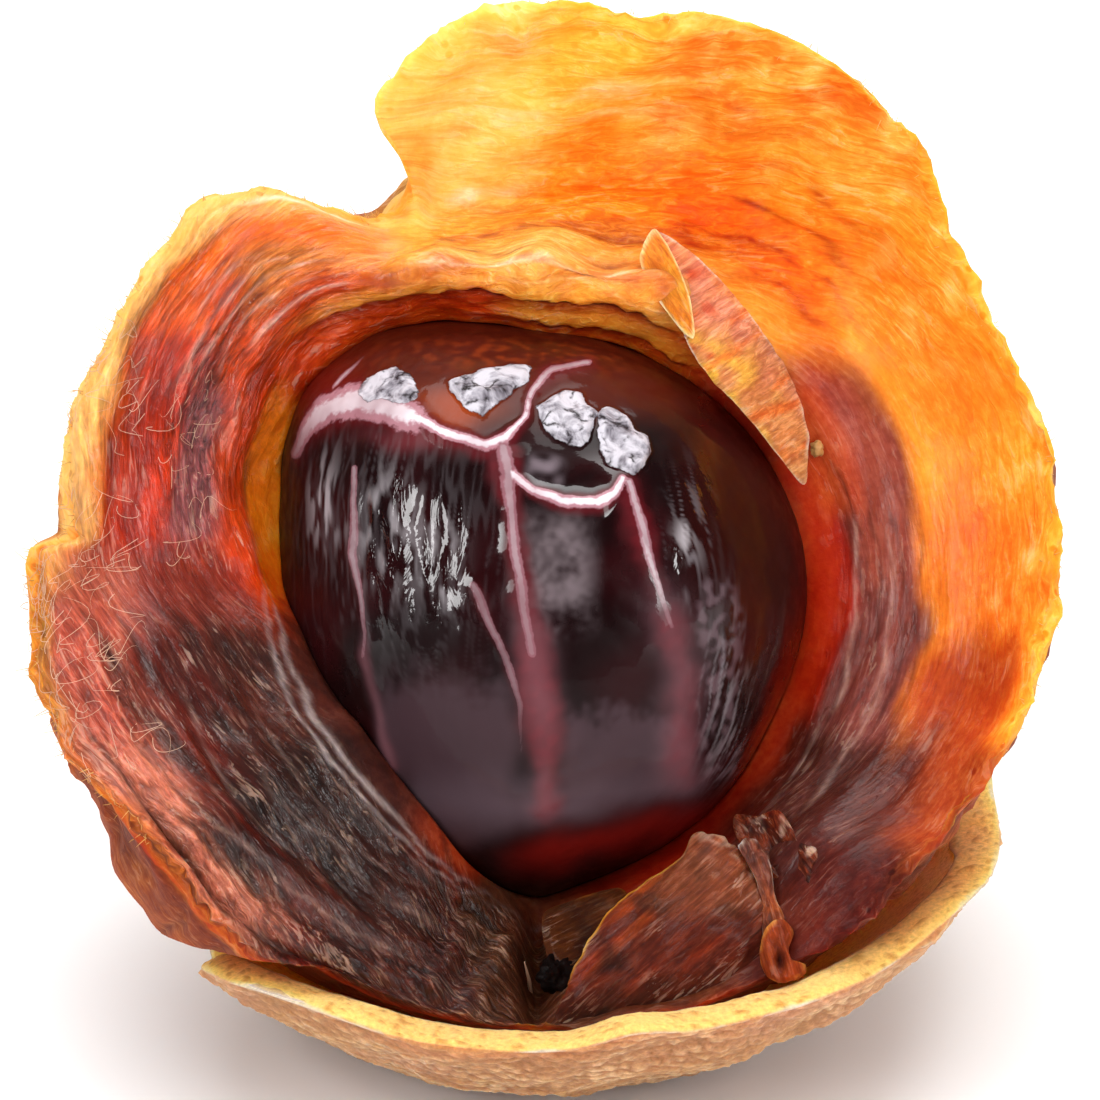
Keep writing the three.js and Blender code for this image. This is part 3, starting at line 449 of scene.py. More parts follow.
# %% A curve through each section
def section_points(angle):
    """The points of each section, with one more before its rows and two after, and the lean of its rim."""
    s = flesh_section(angle)
    seed_r, seed_c = seed_outline(angle)[:, 0] + CLEARANCE, SEED_HALF + CLEARANCE
    zero = np.zeros_like(seed_r)
    points = [(zero, zero + SEED_DEPTH - seed_c)]
    for share, more in ((0.3, 0), (0.58, 0), (0.82, 0), (1, 0.1)):
        lat = np.radians((s[:, 0] + 90) * share - 90)
        points.append(((seed_r + more) * np.cos(lat), SEED_DEPTH + (seed_c + more) * np.sin(lat)))
    points += [(s[:, 1 + 2 * k], s[:, 2 + 2 * k]) for k in range(9)]
    shoulder_r, shoulder_z = points[13]
    for turn in (math.radians(34), math.radians(62)):
        points.append((shoulder_r * math.cos(turn), shoulder_z + (FLESH_BACK - shoulder_z) * math.sin(turn)))
    points.append((zero, zero + FLESH_BACK))
    before, after = ((-r, z) for r, z in (points[1], points[15]))
    return np.array([before, *points, after, after]).transpose(2, 0, 1), s[:, 19]


def along_section(points, row):
    """Radius and depth at a row from 0 to 16."""
    row = np.clip(row, 0, 15.999)
    at, n = np.floor(row + 1).astype(int), np.arange(len(points))
    return catmull_rom(*(points[n, at + k] for k in (-1, 0, 1, 2)), (row + 1 - at)[:, None])


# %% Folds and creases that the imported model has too
def fold_relief(angle, row, p):
    a = np.radians(angle)
    inside, outside = smooth(4.6, 5.6, row) * smooth(11.4, 10.9, row), smooth(11.4, 12.2, row)
    crest = bell(row, 7, 0.75) * smooth(135, 118, angle) * smooth(48, 62, angle)
    h = 0.28 * crest * np.sin(a * 17 + 2.2 * ripple(p, 3, 4))
    h += 0.22 * side(angle, 160, 34) * inside * np.sin(row * 3.1 + a * 5 + 1.6 * ripple(p, 4, 9))
    strands = side(angle, 226, 34) * smooth(5.6, 6.4, row) * smooth(10.9, 10.3, row)
    h += 0.13 * strands * np.sin(row * 5.6 + 1.5 * ripple(p, 4, 2))
    h += 0.12 * side(angle, 350, 42) * bell(row, 7.6, 1.4) * np.sin(row * 5.2 - a * 7 + 1.5 * ripple(p, 4, 6))
    flap = smooth(38, 55, angle) * smooth(106, 100, angle) * bell(row, 9.6, 1.3)
    h += 0.24 * flap * np.sin(p[:, 0] * 1.35 - p[:, 1] * 1.7 + 2.4 * ripple(p, 5, 1))
    h -= 0.34 * side(angle, 216, 14) * bell(row, 9.75, 0.4)
    h -= 0.55 * side(angle, 269, 2.6) * smooth(5, 6, row) * smooth(10.8, 10, row)
    h += 0.16 * side(angle, 259, 7) * smooth(6, 7, row) * smooth(10.8, 10, row) * np.sin(a * 46 + row * 1.3)
    h += 0.3 * inside * ripple(p, 2.6, 14) + 0.16 * bell(row, 11, 0.9) * ripple(p, 1.5, 29)
    return h + outside * (0.42 * ripple(p, 4.2, 17) + 0.22 * ripple(p, 1.9, 23))


def held_in(v):
    """Keeps the flesh inside the rind below its broken edge, and inside the fruit above it."""
    edge = torn_edge(np.degrees(np.arctan2(v[:, 1], v[:, 0])))
    inner, soft = FRUIT_RADIUS - SHELL_WALL - CLEARANCE, 0.35
    limit = inner + (FRUIT_RADIUS + 0.15 - inner) * smooth(edge + 0.25, edge + 1.25, v[:, 2])
    d = np.linalg.norm(v, axis=1)
    pressed = limit - soft * np.exp(-np.maximum(d - limit + soft, 0) / soft)
    v = v * np.where(d > limit - soft, pressed / d, 1)[:, None]
    v[:, 2] = np.maximum(v[:, 2], -(CENTRE_HEIGHT - FLOOR_WALL - CLEARANCE))
    return v


# %% [markdown]
# ## Fibres
#
# Dried flesh is made of fibres that run round the seed. Their wrinkles are a quarter of a millimetre wide and
# several millimetres long, so the noise for them is stretched along the wall. Its coordinates are the place
# round the mouth and the distance along the section, which follow every fold.

# %% Fine wrinkles, by the side of the fruit they are on
LAYERS = [
    # torn layers of the collar: middle angle, half width, row of the edge, how far it wanders, step, seed
    (96, 34, 6.25, 0.42, 0.2, 80),
    (78, 20, 5.35, 0.3, 0.14, 83),
]
LEAST_FIBROUS = 0.02


def layer_of(angle, row, middle, half, at, wander, seed):
    """How much of a torn layer is here, and how many rows past its edge this is."""
    circle = on_circle(angle)
    edge = at + wander * cloud(circle, 1.9, seed) + 0.4 * wander * cloud(circle, 0.6, seed + 1)
    return smooth(1.2, 0.7, angle_gap(angle, middle) / half), row - edge


def fine_relief(angle, row, fibre, p):
    """Height of the wrinkles, with how fibrous, how creased and how crinkled each point is."""
    used = (row > 3.5) & (row < 15.9)
    q, f, a, r = p[used], fibre[used], angle[used], row[used]

    def window(middle, half, low, high, soft=0.6):
        """1 in a patch of the wall, fading at its edges."""
        return side(a, middle, half) * between(low, high, soft, r)

    wander = f + xyz(0, 0, 0.35 * cloud(q, 1.6, 21))
    fine, coarse = ridged(wander, (2.2, 2.2, 0.26), 22) - 0.6, ridged(wander, (3.4, 3.4, 0.7), 23) - 0.6
    hair, grain, soft_lump = cloud(wander, (1.1, 1.1, 0.12), 24), cloud(q, 0.32, 25), cloud(q, 0.9, 26)
    layers = ridged(wander, (4.5, 4.5, 0.9), 27)
    mass = side(a, 216, 44) ** 0.5 * smooth(5.2, 6.2, r) * smooth(11.4, 10.8, r)
    lobe, band = window(142, 30, 4.8, 10.6), window(352, 46, 5.6, 9.2)
    collar, flap, wall = window(88, 40, 4.6, 8.4), window(74, 38, 8.2, 11), window(8, 44, 8.8, 11)
    back, rim = smooth(11.2, 12.4, r), bell(r, 11, 0.8)
    h = mass * (0.07 * fine + 0.1 * coarse + 0.04 * hair) + lobe * (0.09 * fine + 0.14 * coarse + 0.04 * hair)
    h += band * (0.03 * fine + 0.04 * coarse + 0.015 * hair)
    h += collar * (0.05 * fine + 0.2 * (layers - 0.6) + 0.05 * soft_lump)
    for middle, half, at, wander_by, step, seed in LAYERS:
        here, past = layer_of(a, r, middle, half, at, wander_by, seed)
        h += here * step * (smooth(-0.07, 0.05, past) - smooth(0, 1.6, past))
    h += flap * (0.09 * soft_lump + 0.12 * smooth(0.35, 0.9, layers) + 0.03 * grain)
    h += wall * (0.05 * soft_lump + 0.03 * grain) + rim * 0.06 * (soft_lump + grain)
    furrow = smooth(0.62, 1.0, ridged(q + 0.5 * soft_lump[:, None], (1.5, 1.5, 3.4), 33))
    h += back * (0.16 * soft_lump - 0.2 * furrow + 0.05 * grain)
    fibrous = np.clip(0.8 * mass + 0.8 * lobe + 0.45 * band + 0.3 * collar + 0.1 * back, LEAST_FIBROUS, 1)
    creased = (collar + 0.6 * flap) * smooth(0.62, 0.2, layers) + (mass + lobe) * smooth(0, -0.5, coarse)
    ridge = window(155, 14, 6.8, 8.3, 0.35)
    seam = window(258, 16, 5.6, 10.8) + 0.7 * window(232, 22, 8.6, 11.2, 0.4)
    fringe = window(198, 26, 8.6, 11.2, 0.4)
    crinkled = ridge + seam + 0.8 * fringe + 0.3 * lobe + 0.55 * collar + 0.5 * flap
    crinkled += 0.35 * wall + 0.2 * rim + 0.35 * back
    h += 0.12 * ridge * (0.5 + cloud(q, 0.4, 28)) + 0.1 * (seam + fringe) * (ridged(q, 0.5, 30) - 0.6)
    fields = np.zeros((4, len(angle)))
    fields[1] = LEAST_FIBROUS
    fields[:, used] = h, fibrous, np.clip(creased + back * furrow, 0, 1), np.clip(crinkled, 0, 1)
    return fields


# %% Rings and columns of the flesh, closer together where the form turns sharply
FLESH_COLUMNS, FLESH_RINGS = 440, 214
ROW_SPANS = [(0, 4, 14), (4, 5, 12), (5, 9, 64), (9, 12, 58), (12, 13, 16), (13, 16, 50)]
CROWDS = [(105.5, 4, 2.4), (172.5, 3, 1.2), (269, 4, 1.2)]
LIP_REACH = 0.997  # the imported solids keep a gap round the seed; the real lip is pressed against it
flesh_rows = np.concatenate([np.linspace(a, b, n, endpoint=False) for a, b, n in ROW_SPANS] + [[16.0]])
flesh_angles = 360 * crowded(
    FLESH_COLUMNS, lambda s: 1 + sum(more * side(360 * s, at, half) for at, half, more in CROWDS)
)[:-1]
column_points, column_lean = section_points(flesh_angles)
sections = np.array([along_section(column_points, np.full(FLESH_COLUMNS, row)) for row in flesh_rows])
steps = np.linalg.norm(np.diff(sections, axis=0), axis=2)
arc = np.cumsum(np.concatenate([np.zeros((1, FLESH_COLUMNS)), steps]), axis=0)
print("length of the sections, mm:", arc[-1].min().round(1), "to", arc[-1].max().round(1))


# %% Lay the flesh
def flesh_surface(angle, row, points, lean, fibre=None):
    """Points in the mouth frame, the way the wall faces, and with fibres also the fields of fine_relief."""
    here, ahead, behind = (along_section(points, row + step) for step in (0, 0.01, -0.01))
    along = (ahead - behind) / np.maximum(np.linalg.norm(ahead - behind, axis=1), 1e-12)[:, None]
    turned = np.radians(angle + lean * smooth(9.4, 10.6, row) * smooth(12.6, 11.4, row))
    outward = xyz(np.cos(turned), np.sin(turned))
    p = xyz(MOUTH_X, MOUTH_Y, here[:, 1]) + outward * here[:, :1]
    normal = xyz(0, 0, along[:, 0]) - outward * along[:, 1:]
    out = ((row > 0) & (row < 16)).astype(float)
    p = p + normal * (out * fold_relief(angle, row, p))[:, None]
    x, y, z = (p - SEED_MIDDLE).T
    reach = np.hypot(np.hypot(x, y) / seed_outline(angle)[:, 0], z / SEED_HALF)
    pull = bell(row, 4.55, 0.75) * (1 - LIP_REACH / reach)
    p = p - pull[:, None] * (p - SEED_MIDDLE)
    rag = bell(row, 11, 1.1) * out
    p = p + outward * (rag * (0.24 * ripple(p, 1.1, 41) + 0.16 * ripple(p, 2.3, 43)))[:, None]
    p[:, 2] += rag * 0.4 * ripple(p, 1.7, 47)
    if fibre is None:
        return p, normal, ()
    h, *fields = fine_relief(angle, row, fibre, p)
    p = p + normal * (out * h)[:, None]
    edge = bell(row, 11, 0.45) * out
    near = edge > 0.02
    rough = edge[near] * (0.2 * cloud(p[near], 0.42, 31) + 0.12 * cloud(p[near], 0.17, 32))
    p[near] += outward[near] * rough[:, None]
    return p, normal, fields


def place_flesh(column, ring):
    angle, row = flesh_angles[column], flesh_rows[ring]
    fibre = on_circle(angle)
    fibre[:, 2] = arc[ring, column]
    p, _, fields = flesh_surface(angle, row, column_points[column], column_lean[column], fibre)
    return held_in(upright(p)), (angle, row, fibre, p, *fields)


flesh, flesh_fields = lay_skin("flesh_body", FLESH_COLUMNS, FLESH_RINGS, place_flesh)

# %% [markdown]
# ## Colour of the flesh
#
# The sun side and the thin parts dry to clear yellow and orange, the parts against the seed go red, and where
# sugar has collected in folds it is nearly black. Each stroke names where it lies by the angle round the
# mouth and the rows of the wall. On top of the strokes, painted shade darkens the creases and painted
# glints lie on the wet folds and rims.

# %% Colours of dried flesh
PALE_YELLOW, YELLOW, GOLD = "#FDD070", "#F9B234", "#F0A034"
ORANGE, DEEP_ORANGE, RED_ORANGE = "#F88414", "#F06408", "#DA3E06"
RED, DEEP_RED, MAROON = "#B82206", "#7C1206", "#48100A"
BROWN, DARK_BROWN, BLACK_BROWN, OLIVE = "#6E2810", "#3E1810", "#22100C", "#4E2610"
MAUVE, ROSE, PALE_FIBRE_AND_GLINT, AMBER = "#74362E", "#B85438", "#EBC4AC", "#C86A1A"

STROKES = [
    # colour, middle angle, half width, first row, last row, softness, strength
    # the flap at the back, from its root to its rim
    ("#F7901A", 72, 42, 7.8, 12.4, 0.5, 1.0),
    ("#FBBE48", 90, 22, 9.6, 12.6, 0.7, 0.85),
    (PALE_YELLOW, 104, 13, 8.6, 12.6, 0.8, 0.75),
    (GOLD, 52, 16, 9.6, 12.4, 0.5, 0.75),
    (DEEP_ORANGE, 70, 14, 8.3, 9.6, 0.5, 0.4),
    (YELLOW, 58, 15, 9.3, 11.8, 0.4, 0.4),
    ("#EE9430", 64, 14, 9.8, 12.4, 0.5, 0.85),
    (DEEP_ORANGE, 56, 16, 8.0, 9.2, 0.4, 0.55),
    (RED_ORANGE, 50, 11, 7.7, 8.6, 0.35, 0.35),
    # the collar over the seed
    (DEEP_ORANGE, 92, 34, 4.4, 6.6, 0.5, 0.9),
    ("#EE9A34", 84, 38, 6.2, 8.0, 0.4, 0.95),
    ("#F4BC6C", 94, 20, 6.8, 7.6, 0.3, 0.5),
    ("#B8501A", 109, 9, 5.4, 7.3, 0.3, 0.95),
    ("#D06C2C", 74, 8, 6.3, 7.4, 0.3, 0.8),
    (RED_ORANGE, 112, 16, 4.2, 6.4, 0.6, 0.8),
    # the lobe at the left
    (GOLD, 118, 12, 7.4, 11.6, 0.6, 0.85),
    ("#CC4208", 140, 24, 4.2, 9.6, 0.7, 0.9),
    ("#E89040", 123, 10, 7.6, 10.2, 0.5, 0.8),
    (DEEP_ORANGE, 130, 14, 8.8, 10.4, 0.5, 0.8),
    (RED_ORANGE, 156, 22, 3.4, 6.4, 0.4, 0.95),
    ("#FF6C0C", 160, 17, 3.4, 5.7, 0.3, 0.95),
    (ORANGE, 156, 15, 4.6, 5.7, 0.25, 0.7),
    # a mauve strip: partly its own colour, partly a painted sheen of light on its tiny wrinkles
    ("#96565A", 158, 12, 6.8, 8.0, 0.3, 0.85),
    ("#8E4A48", 147, 7, 7.5, 8.5, 0.3, 0.6),
    (RED, 158, 15, 8.0, 9.3, 0.4, 0.7),
    (ORANGE, 152, 26, 9.7, 12.0, 0.35, 0.9),
    (GOLD, 146, 32, 10.2, 12.4, 0.35, 0.9),
    ("#F8C878", 150, 26, 9.8, 12.0, 0.3, 0.65),
    # the dark mass folded over the seed at the lower left
    (DEEP_RED, 186, 14, 6.4, 8.8, 0.6, 0.6),
    (MAUVE, 181, 9, 6.4, 8.2, 0.5, 0.5),
    ("#B8604A", 192, 17, 8.4, 10.9, 0.4, 0.9),
    (RED, 197, 17, 8.6, 10.2, 0.4, 0.3),
    (DARK_BROWN, 213, 32, 3.8, 8.2, 0.6, 0.95),
    (MAROON, 206, 20, 7.4, 9.0, 0.5, 0.7),
    (BLACK_BROWN, 238, 30, 5.4, 10.8, 0.8, 0.8),
    (DARK_BROWN, 250, 14, 6.4, 10.8, 0.7, 0.7),
    ("#D27C60", 213, 15, 8.9, 10.7, 0.35, 0.75),
    (AMBER, 207, 20, 10.5, 11.6, 0.35, 0.85),
    (GOLD, 182, 12, 10.4, 12.0, 0.4, 0.7),
    (BROWN, 212, 24, 11.8, 14.5, 0.6, 0.5),
    # the seam, and what lies in front of it
    ("#54301E", 268, 10, 4.0, 11.6, 0.6, 0.9),
    (OLIVE, 290, 18, 4.0, 11.0, 0.8, 0.9),
    (BROWN, 312, 16, 5.6, 9.4, 0.8, 0.85),
    (MAROON, 318, 22, 8.8, 12.6, 0.5, 0.8),
    # the wall at the right: red beside the seed, a mauve band, orange, and a clear yellow rim
    ("#A81C06", 348, 66, 3.2, 6.4, 0.3, 0.95),
    (RED_ORANGE, 0, 40, 4.3, 5.8, 0.3, 0.25),
    # the mauve band: dark red flesh with a painted sheen of light on its fine rough surface
    (MAUVE, 350, 48, 6.2, 8.2, 0.25, 0.95),
    ("#C44A18", 28, 12, 5.6, 6.9, 0.25, 0.8),
    (ROSE, 18, 14, 6.6, 7.8, 0.35, 0.4),
    ("#F79A28", 10, 38, 8.2, 11.6, 0.3, 0.95),
    ("#F08C24", 36, 12, 8.6, 11.4, 0.5, 0.5),
    ("#E8701C", 354, 20, 8.2, 10.2, 0.4, 0.8),
    ("#A43210", 341, 14, 8.2, 9.9, 0.4, 0.85),
    (YELLOW, 24, 20, 10.0, 11.8, 0.5, 0.5),
    (GOLD, 6, 38, 10.4, 12.0, 0.3, 0.9),
    (DARK_BROWN, 322, 15, 5.2, 8.6, 0.5, 0.85),
    (MAROON, 326, 15, 8.0, 12.4, 0.6, 0.85),
    ("#B8481A", 334, 9, 9.4, 11.6, 0.5, 0.6),
]
PALE_GLINT, WARM_GLINT, FOLD_RED, FOLD_BROWN, FOLD_BLACK = "#EBC0AE", "#FFE0BC", "#8C2404", "#4C1C16", "#1C0C08"
# dark lines along folds, and painted highlights: the PALE_GLINT, WARM_GLINT and #FFF0D0 lines are glints on the wet
# folds and rims
FOLD_AND_GLINT_LINES = [
    # colour, row, half width in rows, first angle, last angle, strength
    (PALE_GLINT, 7.1, 0.05, 118, 140, 0.8),
    (PALE_GLINT, 7.5, 0.045, 114, 146, 0.7),
    (PALE_GLINT, 7.95, 0.06, 118, 150, 0.8),
    (PALE_GLINT, 8.35, 0.045, 120, 150, 0.7),
    (PALE_GLINT, 8.75, 0.045, 122, 144, 0.6),
    (WARM_GLINT, 10.55, 0.1, 112, 133, 0.8),
    (FOLD_RED, 7.75, 0.06, 116, 152, 0.7),
    (FOLD_RED, 8.55, 0.06, 118, 156, 0.7),
    (FOLD_RED, 9.2, 0.07, 124, 168, 0.6),
    ("#B83C08", 8.25, 0.07, 40, 76, 1.0),
    ("#B83C08", 8.6, 0.05, 38, 72, 0.9),
    ("#A83204", 9.0, 0.05, 44, 70, 0.8),
    ("#B83C08", 9.4, 0.05, 46, 68, 0.7),
    ("#B83C08", 9.9, 0.05, 58, 78, 0.5),
    ("#FFF0D0", 8.75, 0.09, 90, 105, 0.9),
    ("#FCDCA4", 9.9, 0.04, 72, 92, 0.5),
    ("#FCDCA4", 9.6, 0.04, 74, 100, 0.5),
    (FOLD_RED, 6.95, 0.05, 58, 120, 0.7),
    (FOLD_BROWN, 7.4, 0.04, 68, 112, 0.6),
    (WARM_GLINT, 7.15, 0.05, 62, 112, 0.6),
    (WARM_GLINT, 6.6, 0.04, 64, 108, 0.5),
    (FOLD_RED, 7.9, 0.08, 60, 116, 0.7),
    (FOLD_BROWN, 6.6, 0.06, -48, 30, 0.7),
    (FOLD_BROWN, 7.1, 0.05, -52, 22, 0.6),
    (FOLD_BROWN, 7.6, 0.06, -46, 26, 0.6),
    (FOLD_BROWN, 8.0, 0.05, -40, 18, 0.5),
    (PALE_GLINT, 6.4, 0.05, -44, 24, 0.35),
    (PALE_GLINT, 7.35, 0.05, -40, 16, 0.3),
    (FOLD_BLACK, 6.3, 0.06, 192, 262, 0.7),
    (FOLD_BLACK, 6.9, 0.06, 196, 262, 0.7),
    (FOLD_BLACK, 7.5, 0.07, 192, 262, 0.7),
    (FOLD_BLACK, 8.1, 0.06, 196, 262, 0.7),
    (FOLD_BLACK, 8.8, 0.08, 204, 262, 0.7),
    (PALE_GLINT, 6.1, 0.035, 196, 258, 0.12),
    (PALE_GLINT, 6.6, 0.035, 192, 250, 0.12),
    (PALE_GLINT, 7.2, 0.04, 196, 256, 0.12),
    (PALE_GLINT, 7.8, 0.035, 190, 240, 0.12),
    (PALE_GLINT, 8.45, 0.04, 196, 258, 0.15),
]

# %% Paint the flesh
angle, row, fibre, p, fibrous, creased, crinkled = flesh_fields
signed = (angle + 180) % 360 - 180
strand = cloud(fibre, (2.4, 2.4, 0.3), 47)
inner_side, skin_side = smooth(4, 5, row) * smooth(12, 11.2, row), smooth(11.6, 12.6, row)
clear_side = inner_side * smooth(122, 112, angle) * smooth(-45, -30, signed)
dark_side = smooth(172, 186, angle) * smooth(272, 262, angle) * (row < 11.5)
glazes = [(RED_ORANGE, (row < 11.5) * 0.5)]

wobbly_angle = angle + 5 * cloud(p, 2.2, 41) + 2.5 * cloud(p, 0.8, 42)
wobbly_row = row + 0.35 * cloud(p, 1.8, 43) + 0.2 * cloud(fibre, (1.6, 1.6, 0.5), 44)
for colour, middle, half, low, high, soft, strength in STROKES:
    there = smooth(1.3, 0.7, angle_gap(wobbly_angle, middle) / half) * between(low, high, soft, wobbly_row)
    glazes.append((colour, strength * there))

# painted highlight: a pale double line along the fold edge of the dark mass, next to the seed
fold_highlight_row = row + 0.14 * cloud(fibre, (2.0, 2.0, 0.4), 50)
fold_edge_highlight = (bell(fold_highlight_row, 5.62, 0.055) + bell(fold_highlight_row, 5.88, 0.045)) * side(angle, 217, 38)
glazes += [
    (DEEP_ORANGE, 0.4 * clear_side * smooth(0.1, 0.55, cloud(p, 1.3, 48)) * smooth(8.2, 9, row)),
    (PALE_YELLOW, 0.5 * clear_side * smooth(0.1, 0.55, cloud(p, 0.9, 49)) * smooth(8.8, 9.8, row)),
    ("#A24C18", 0.9 * smooth(11.8, 13.4, row)),
    ("#C46C20", 0.5 * skin_side * smooth(-0.2, 0.7, cloud(p, 2.4, 45))),
    (BROWN, 0.45 * skin_side * smooth(-0.5, 0.9, cloud(p, 1.6, 46))),
    # painted shade: darker in the creases and furrows of the skin side
    ("#5C2410", 0.6 * skin_side * creased),
    (BLACK_BROWN, 0.5 * dark_side * smooth(0.05, 0.5, strand)),
    # painted shade: darker in the creases, and redder where the flesh is clear
    ("#A83C04", 0.45 * creased * smooth(120, 110, angle) * inner_side),
    (DEEP_RED, 0.5 * creased * smooth(115, 125, angle) * smooth(184, 176, angle) * inner_side),
    (BLACK_BROWN, 0.6 * creased * dark_side),
    (RED, 0.14 * dark_side * smooth(-0.1, -0.5, strand) * smooth(6.5, 8.5, row) * smooth(240, 226, angle)),
    ("#A89894", 0.7 * fold_edge_highlight),
]
for n, (colour, at, half, first, last, strength) in enumerate(FOLD_AND_GLINT_LINES):
    turn = signed if first < 0 else angle
    along = smooth(first, first + 8, turn) * smooth(last, last - 8, turn)
    wander = 0.3 * cloud(fibre, (2.6, 2.6, 1.1), 90 + n) + 0.08 * cloud(fibre, (0.8, 0.8, 1.1), 130 + n)
    broken = np.clip(0.7 + 1.3 * cloud(p, 0.8, 170 + n), 0, 1)
    glazes.append((colour, strength * along * broken * bell(row + wander, at, half)))
for middle, half, at, wander_by, step, seed in LAYERS:
    here, past = layer_of(angle, row, middle, half, at, wander_by, seed)
    glazes += [
        ("#F8AC40", 0.6 * here * smooth(0.0, 0.12, past) * smooth(0.8, 0.25, past)),
        ("#A02C04", 0.6 * here * smooth(0.0, -0.1, past) * smooth(-0.7, -0.2, past)),
        # painted shade: a dark line at the foot of each layer's torn edge
        ("#5A1A04", 0.9 * here * bell(past, -0.09, 0.06)),
    ]
paint_piece(flesh, BROWN, glazes)
wet_side = np.clip(1 - 0.5 * skin_side - 0.5 * bell(row, 11, 0.8), 0, 1)
keep_field(flesh, "fibre", fibre)
keep_field(flesh, "grain", xyz(fibrous, wet_side, bell(row, 10.9, 0.7)))
keep_field(flesh, "crinkled", crinkled)

# %% [markdown]
# ## Torn leaves of flesh
#
# A few thin pieces are still attached: a tab and a small sheet in front of the seam, two pale leaves of
# membrane at the upper right, and beside the tab a strip, a curl and a crumpled patch. Each is a plate inside
# a torn outline, bent by a simple depth formula and crumpled a little. Its paint is a list of glazes too.

# %% Lay and paint a leaf
def from_mouth(x, y):
    return np.hypot(x - MOUTH_X, y - MOUTH_Y)


def lay_leaf(name, outline, depth, thickness, crumple, seed, base, glazes, columns=150, rings=72, torn=1.0,
             lie=(0.55, -0.83), crinkle=0.15):
    """outline is in angles and radii round the mouth, and lie is the direction of the leaf's fibres."""
    a, r = np.array(outline).T
    corners = xyz(MOUTH_X + r * np.cos(np.radians(a)), MOUTH_Y + r * np.sin(np.radians(a)))[:, :2]
    centre = corners.mean(0)

    def place(column, ring):
        at = column / columns * len(corners)
        i = np.floor(at).astype(int)
        e = catmull_rom(*(corners[(i + k) % len(corners)] for k in (-1, 0, 1, 2)), (at - i)[:, None])
        turn = ring / rings * math.pi
        share = np.sin(turn) ** 0.6
        lift = np.sign(np.cos(turn)) * np.abs(np.cos(turn)) ** 0.45
        flat = (e - centre) * share[:, None]
        here, edge = xyz(*(centre + flat).T), smooth(0.8, 1.0, share)
        rag = 1 + edge * torn * (0.05 * cloud(here, 0.5, seed + 1) + 0.03 * cloud(here, 0.2, seed + 2))
        q = xyz(*(centre + flat * rag[:, None]).T)
        bumps = cloud(q, 0.9, seed + 3) + 0.5 * cloud(q, 0.35, seed + 4)
        q[:, 2] = depth(*q.T[:2]) + crumple * bumps + 0.5 * thickness * (1 - 0.5 * edge) * lift
        return upright(q), (q, share)

    piece, (q, share) = lay_skin(name, columns, rings, place)
    x, y, z = q.T
    lengthwise, across = x * lie[0] + y * lie[1], y * lie[0] - x * lie[1]

    def streaks(seed):
        """Noise drawn out along the fibres."""
        return cloud(xyz(lengthwise, 5 * across, z), 1.6, seed)

    paint_piece(piece, base, glazes(q, x, y, share, streaks))
    keep_field(piece, "fibre", xyz(lengthwise, z, across))
    keep_field(piece, "grain", np.tile([0.7, 0.3, 0.0], (len(q), 1)))
    keep_field(piece, "crinkled", np.full(len(q), crinkle))
    return piece


# %% Tab in front of the seam
def tab_depth(x, y):
    return 2.35 - 0.42 * (y + 8.6) - 0.12 * (y + 8.6) ** 2 + 0.25 * np.sin(x * 2.1) * smooth(-10.6, -8.8, y)


tab = lay_leaf(
    "flesh_tab",
    [(272.5, 9.9), (273.5, 9.3), (275.5, 8.7), (278.5, 8.1), (282, 7.55), (286, 7.28), (290, 7.12), (295, 7.0),
     (300, 6.88), (304, 6.62), (307.5, 6.85), (309.5, 7.4), (310, 8.1), (309, 8.8), (307, 9.4), (303, 9.9),
     (295, 10.1), (285, 10.15), (277, 10.1)],
    tab_depth, 0.45, 0.1, 60, "#5A1E0E",
    lambda q, x, y, share, streaks: [
        ("#B2480E", 0.75 * smooth(0.0, 0.4, streaks(62)) * smooth(-0.9, 1.0, y - 0.75 * x + 11.0)),
        ("#8C2C0A", 0.6 * smooth(0.1, 0.5, streaks(64))),
        (BLACK_BROWN, 0.7 * smooth(0.05, 0.5, cloud(q, 0.8, 61))),
        ("#8A4A2C", 0.6 * smooth(-9.4, -8.6, y) * smooth(1.6, 3.0, x)),
        (BLACK_BROWN, 0.7 * smooth(-10.2, -11.6, y)),
        (GOLD, 0.6 * smooth(0.95, 1.0, share) * smooth(-11.0, -10.0, y) * smooth(3.6, 2.8, x)),
        ("#B48C78", 0.6 * smooth(0.86, 0.95, share) * smooth(3.0, 3.5, x) * smooth(-8.9, -8.2, y)
         * smooth(-0.2, 0.3, cloud(q, 0.3, 65))),
    ],
    lie=(0.75, 0.66), crinkle=0.35,
)

# %% Small sheet between the seed and the tab
sheet = lay_leaf(
    "flesh_sheet",
    [(270.5, 7.4), (275, 7.2), (281, 7.05), (286, 7.1), (287, 7.5), (283, 8), (279, 8.5), (275, 8.9), (271.5, 8.6),
     (270.3, 8)],
    lambda x, y: 0.35 + 0.6 * (from_mouth(x, y) - 7.1), 0.45, 0.05, 70, "#54280F",
    lambda q, x, y, share, streaks: [
        (AMBER, 0.35 * smooth(0.9, 1.0, share) * smooth(-0.1, 0.4, cloud(q, 0.5, 73))),
        (BLACK_BROWN, 0.6 * smooth(-0.1, 0.4, cloud(q, 0.7, 71))),
    ],
    96, 40, lie=(0.9, 0.43), crinkle=0.3,
)

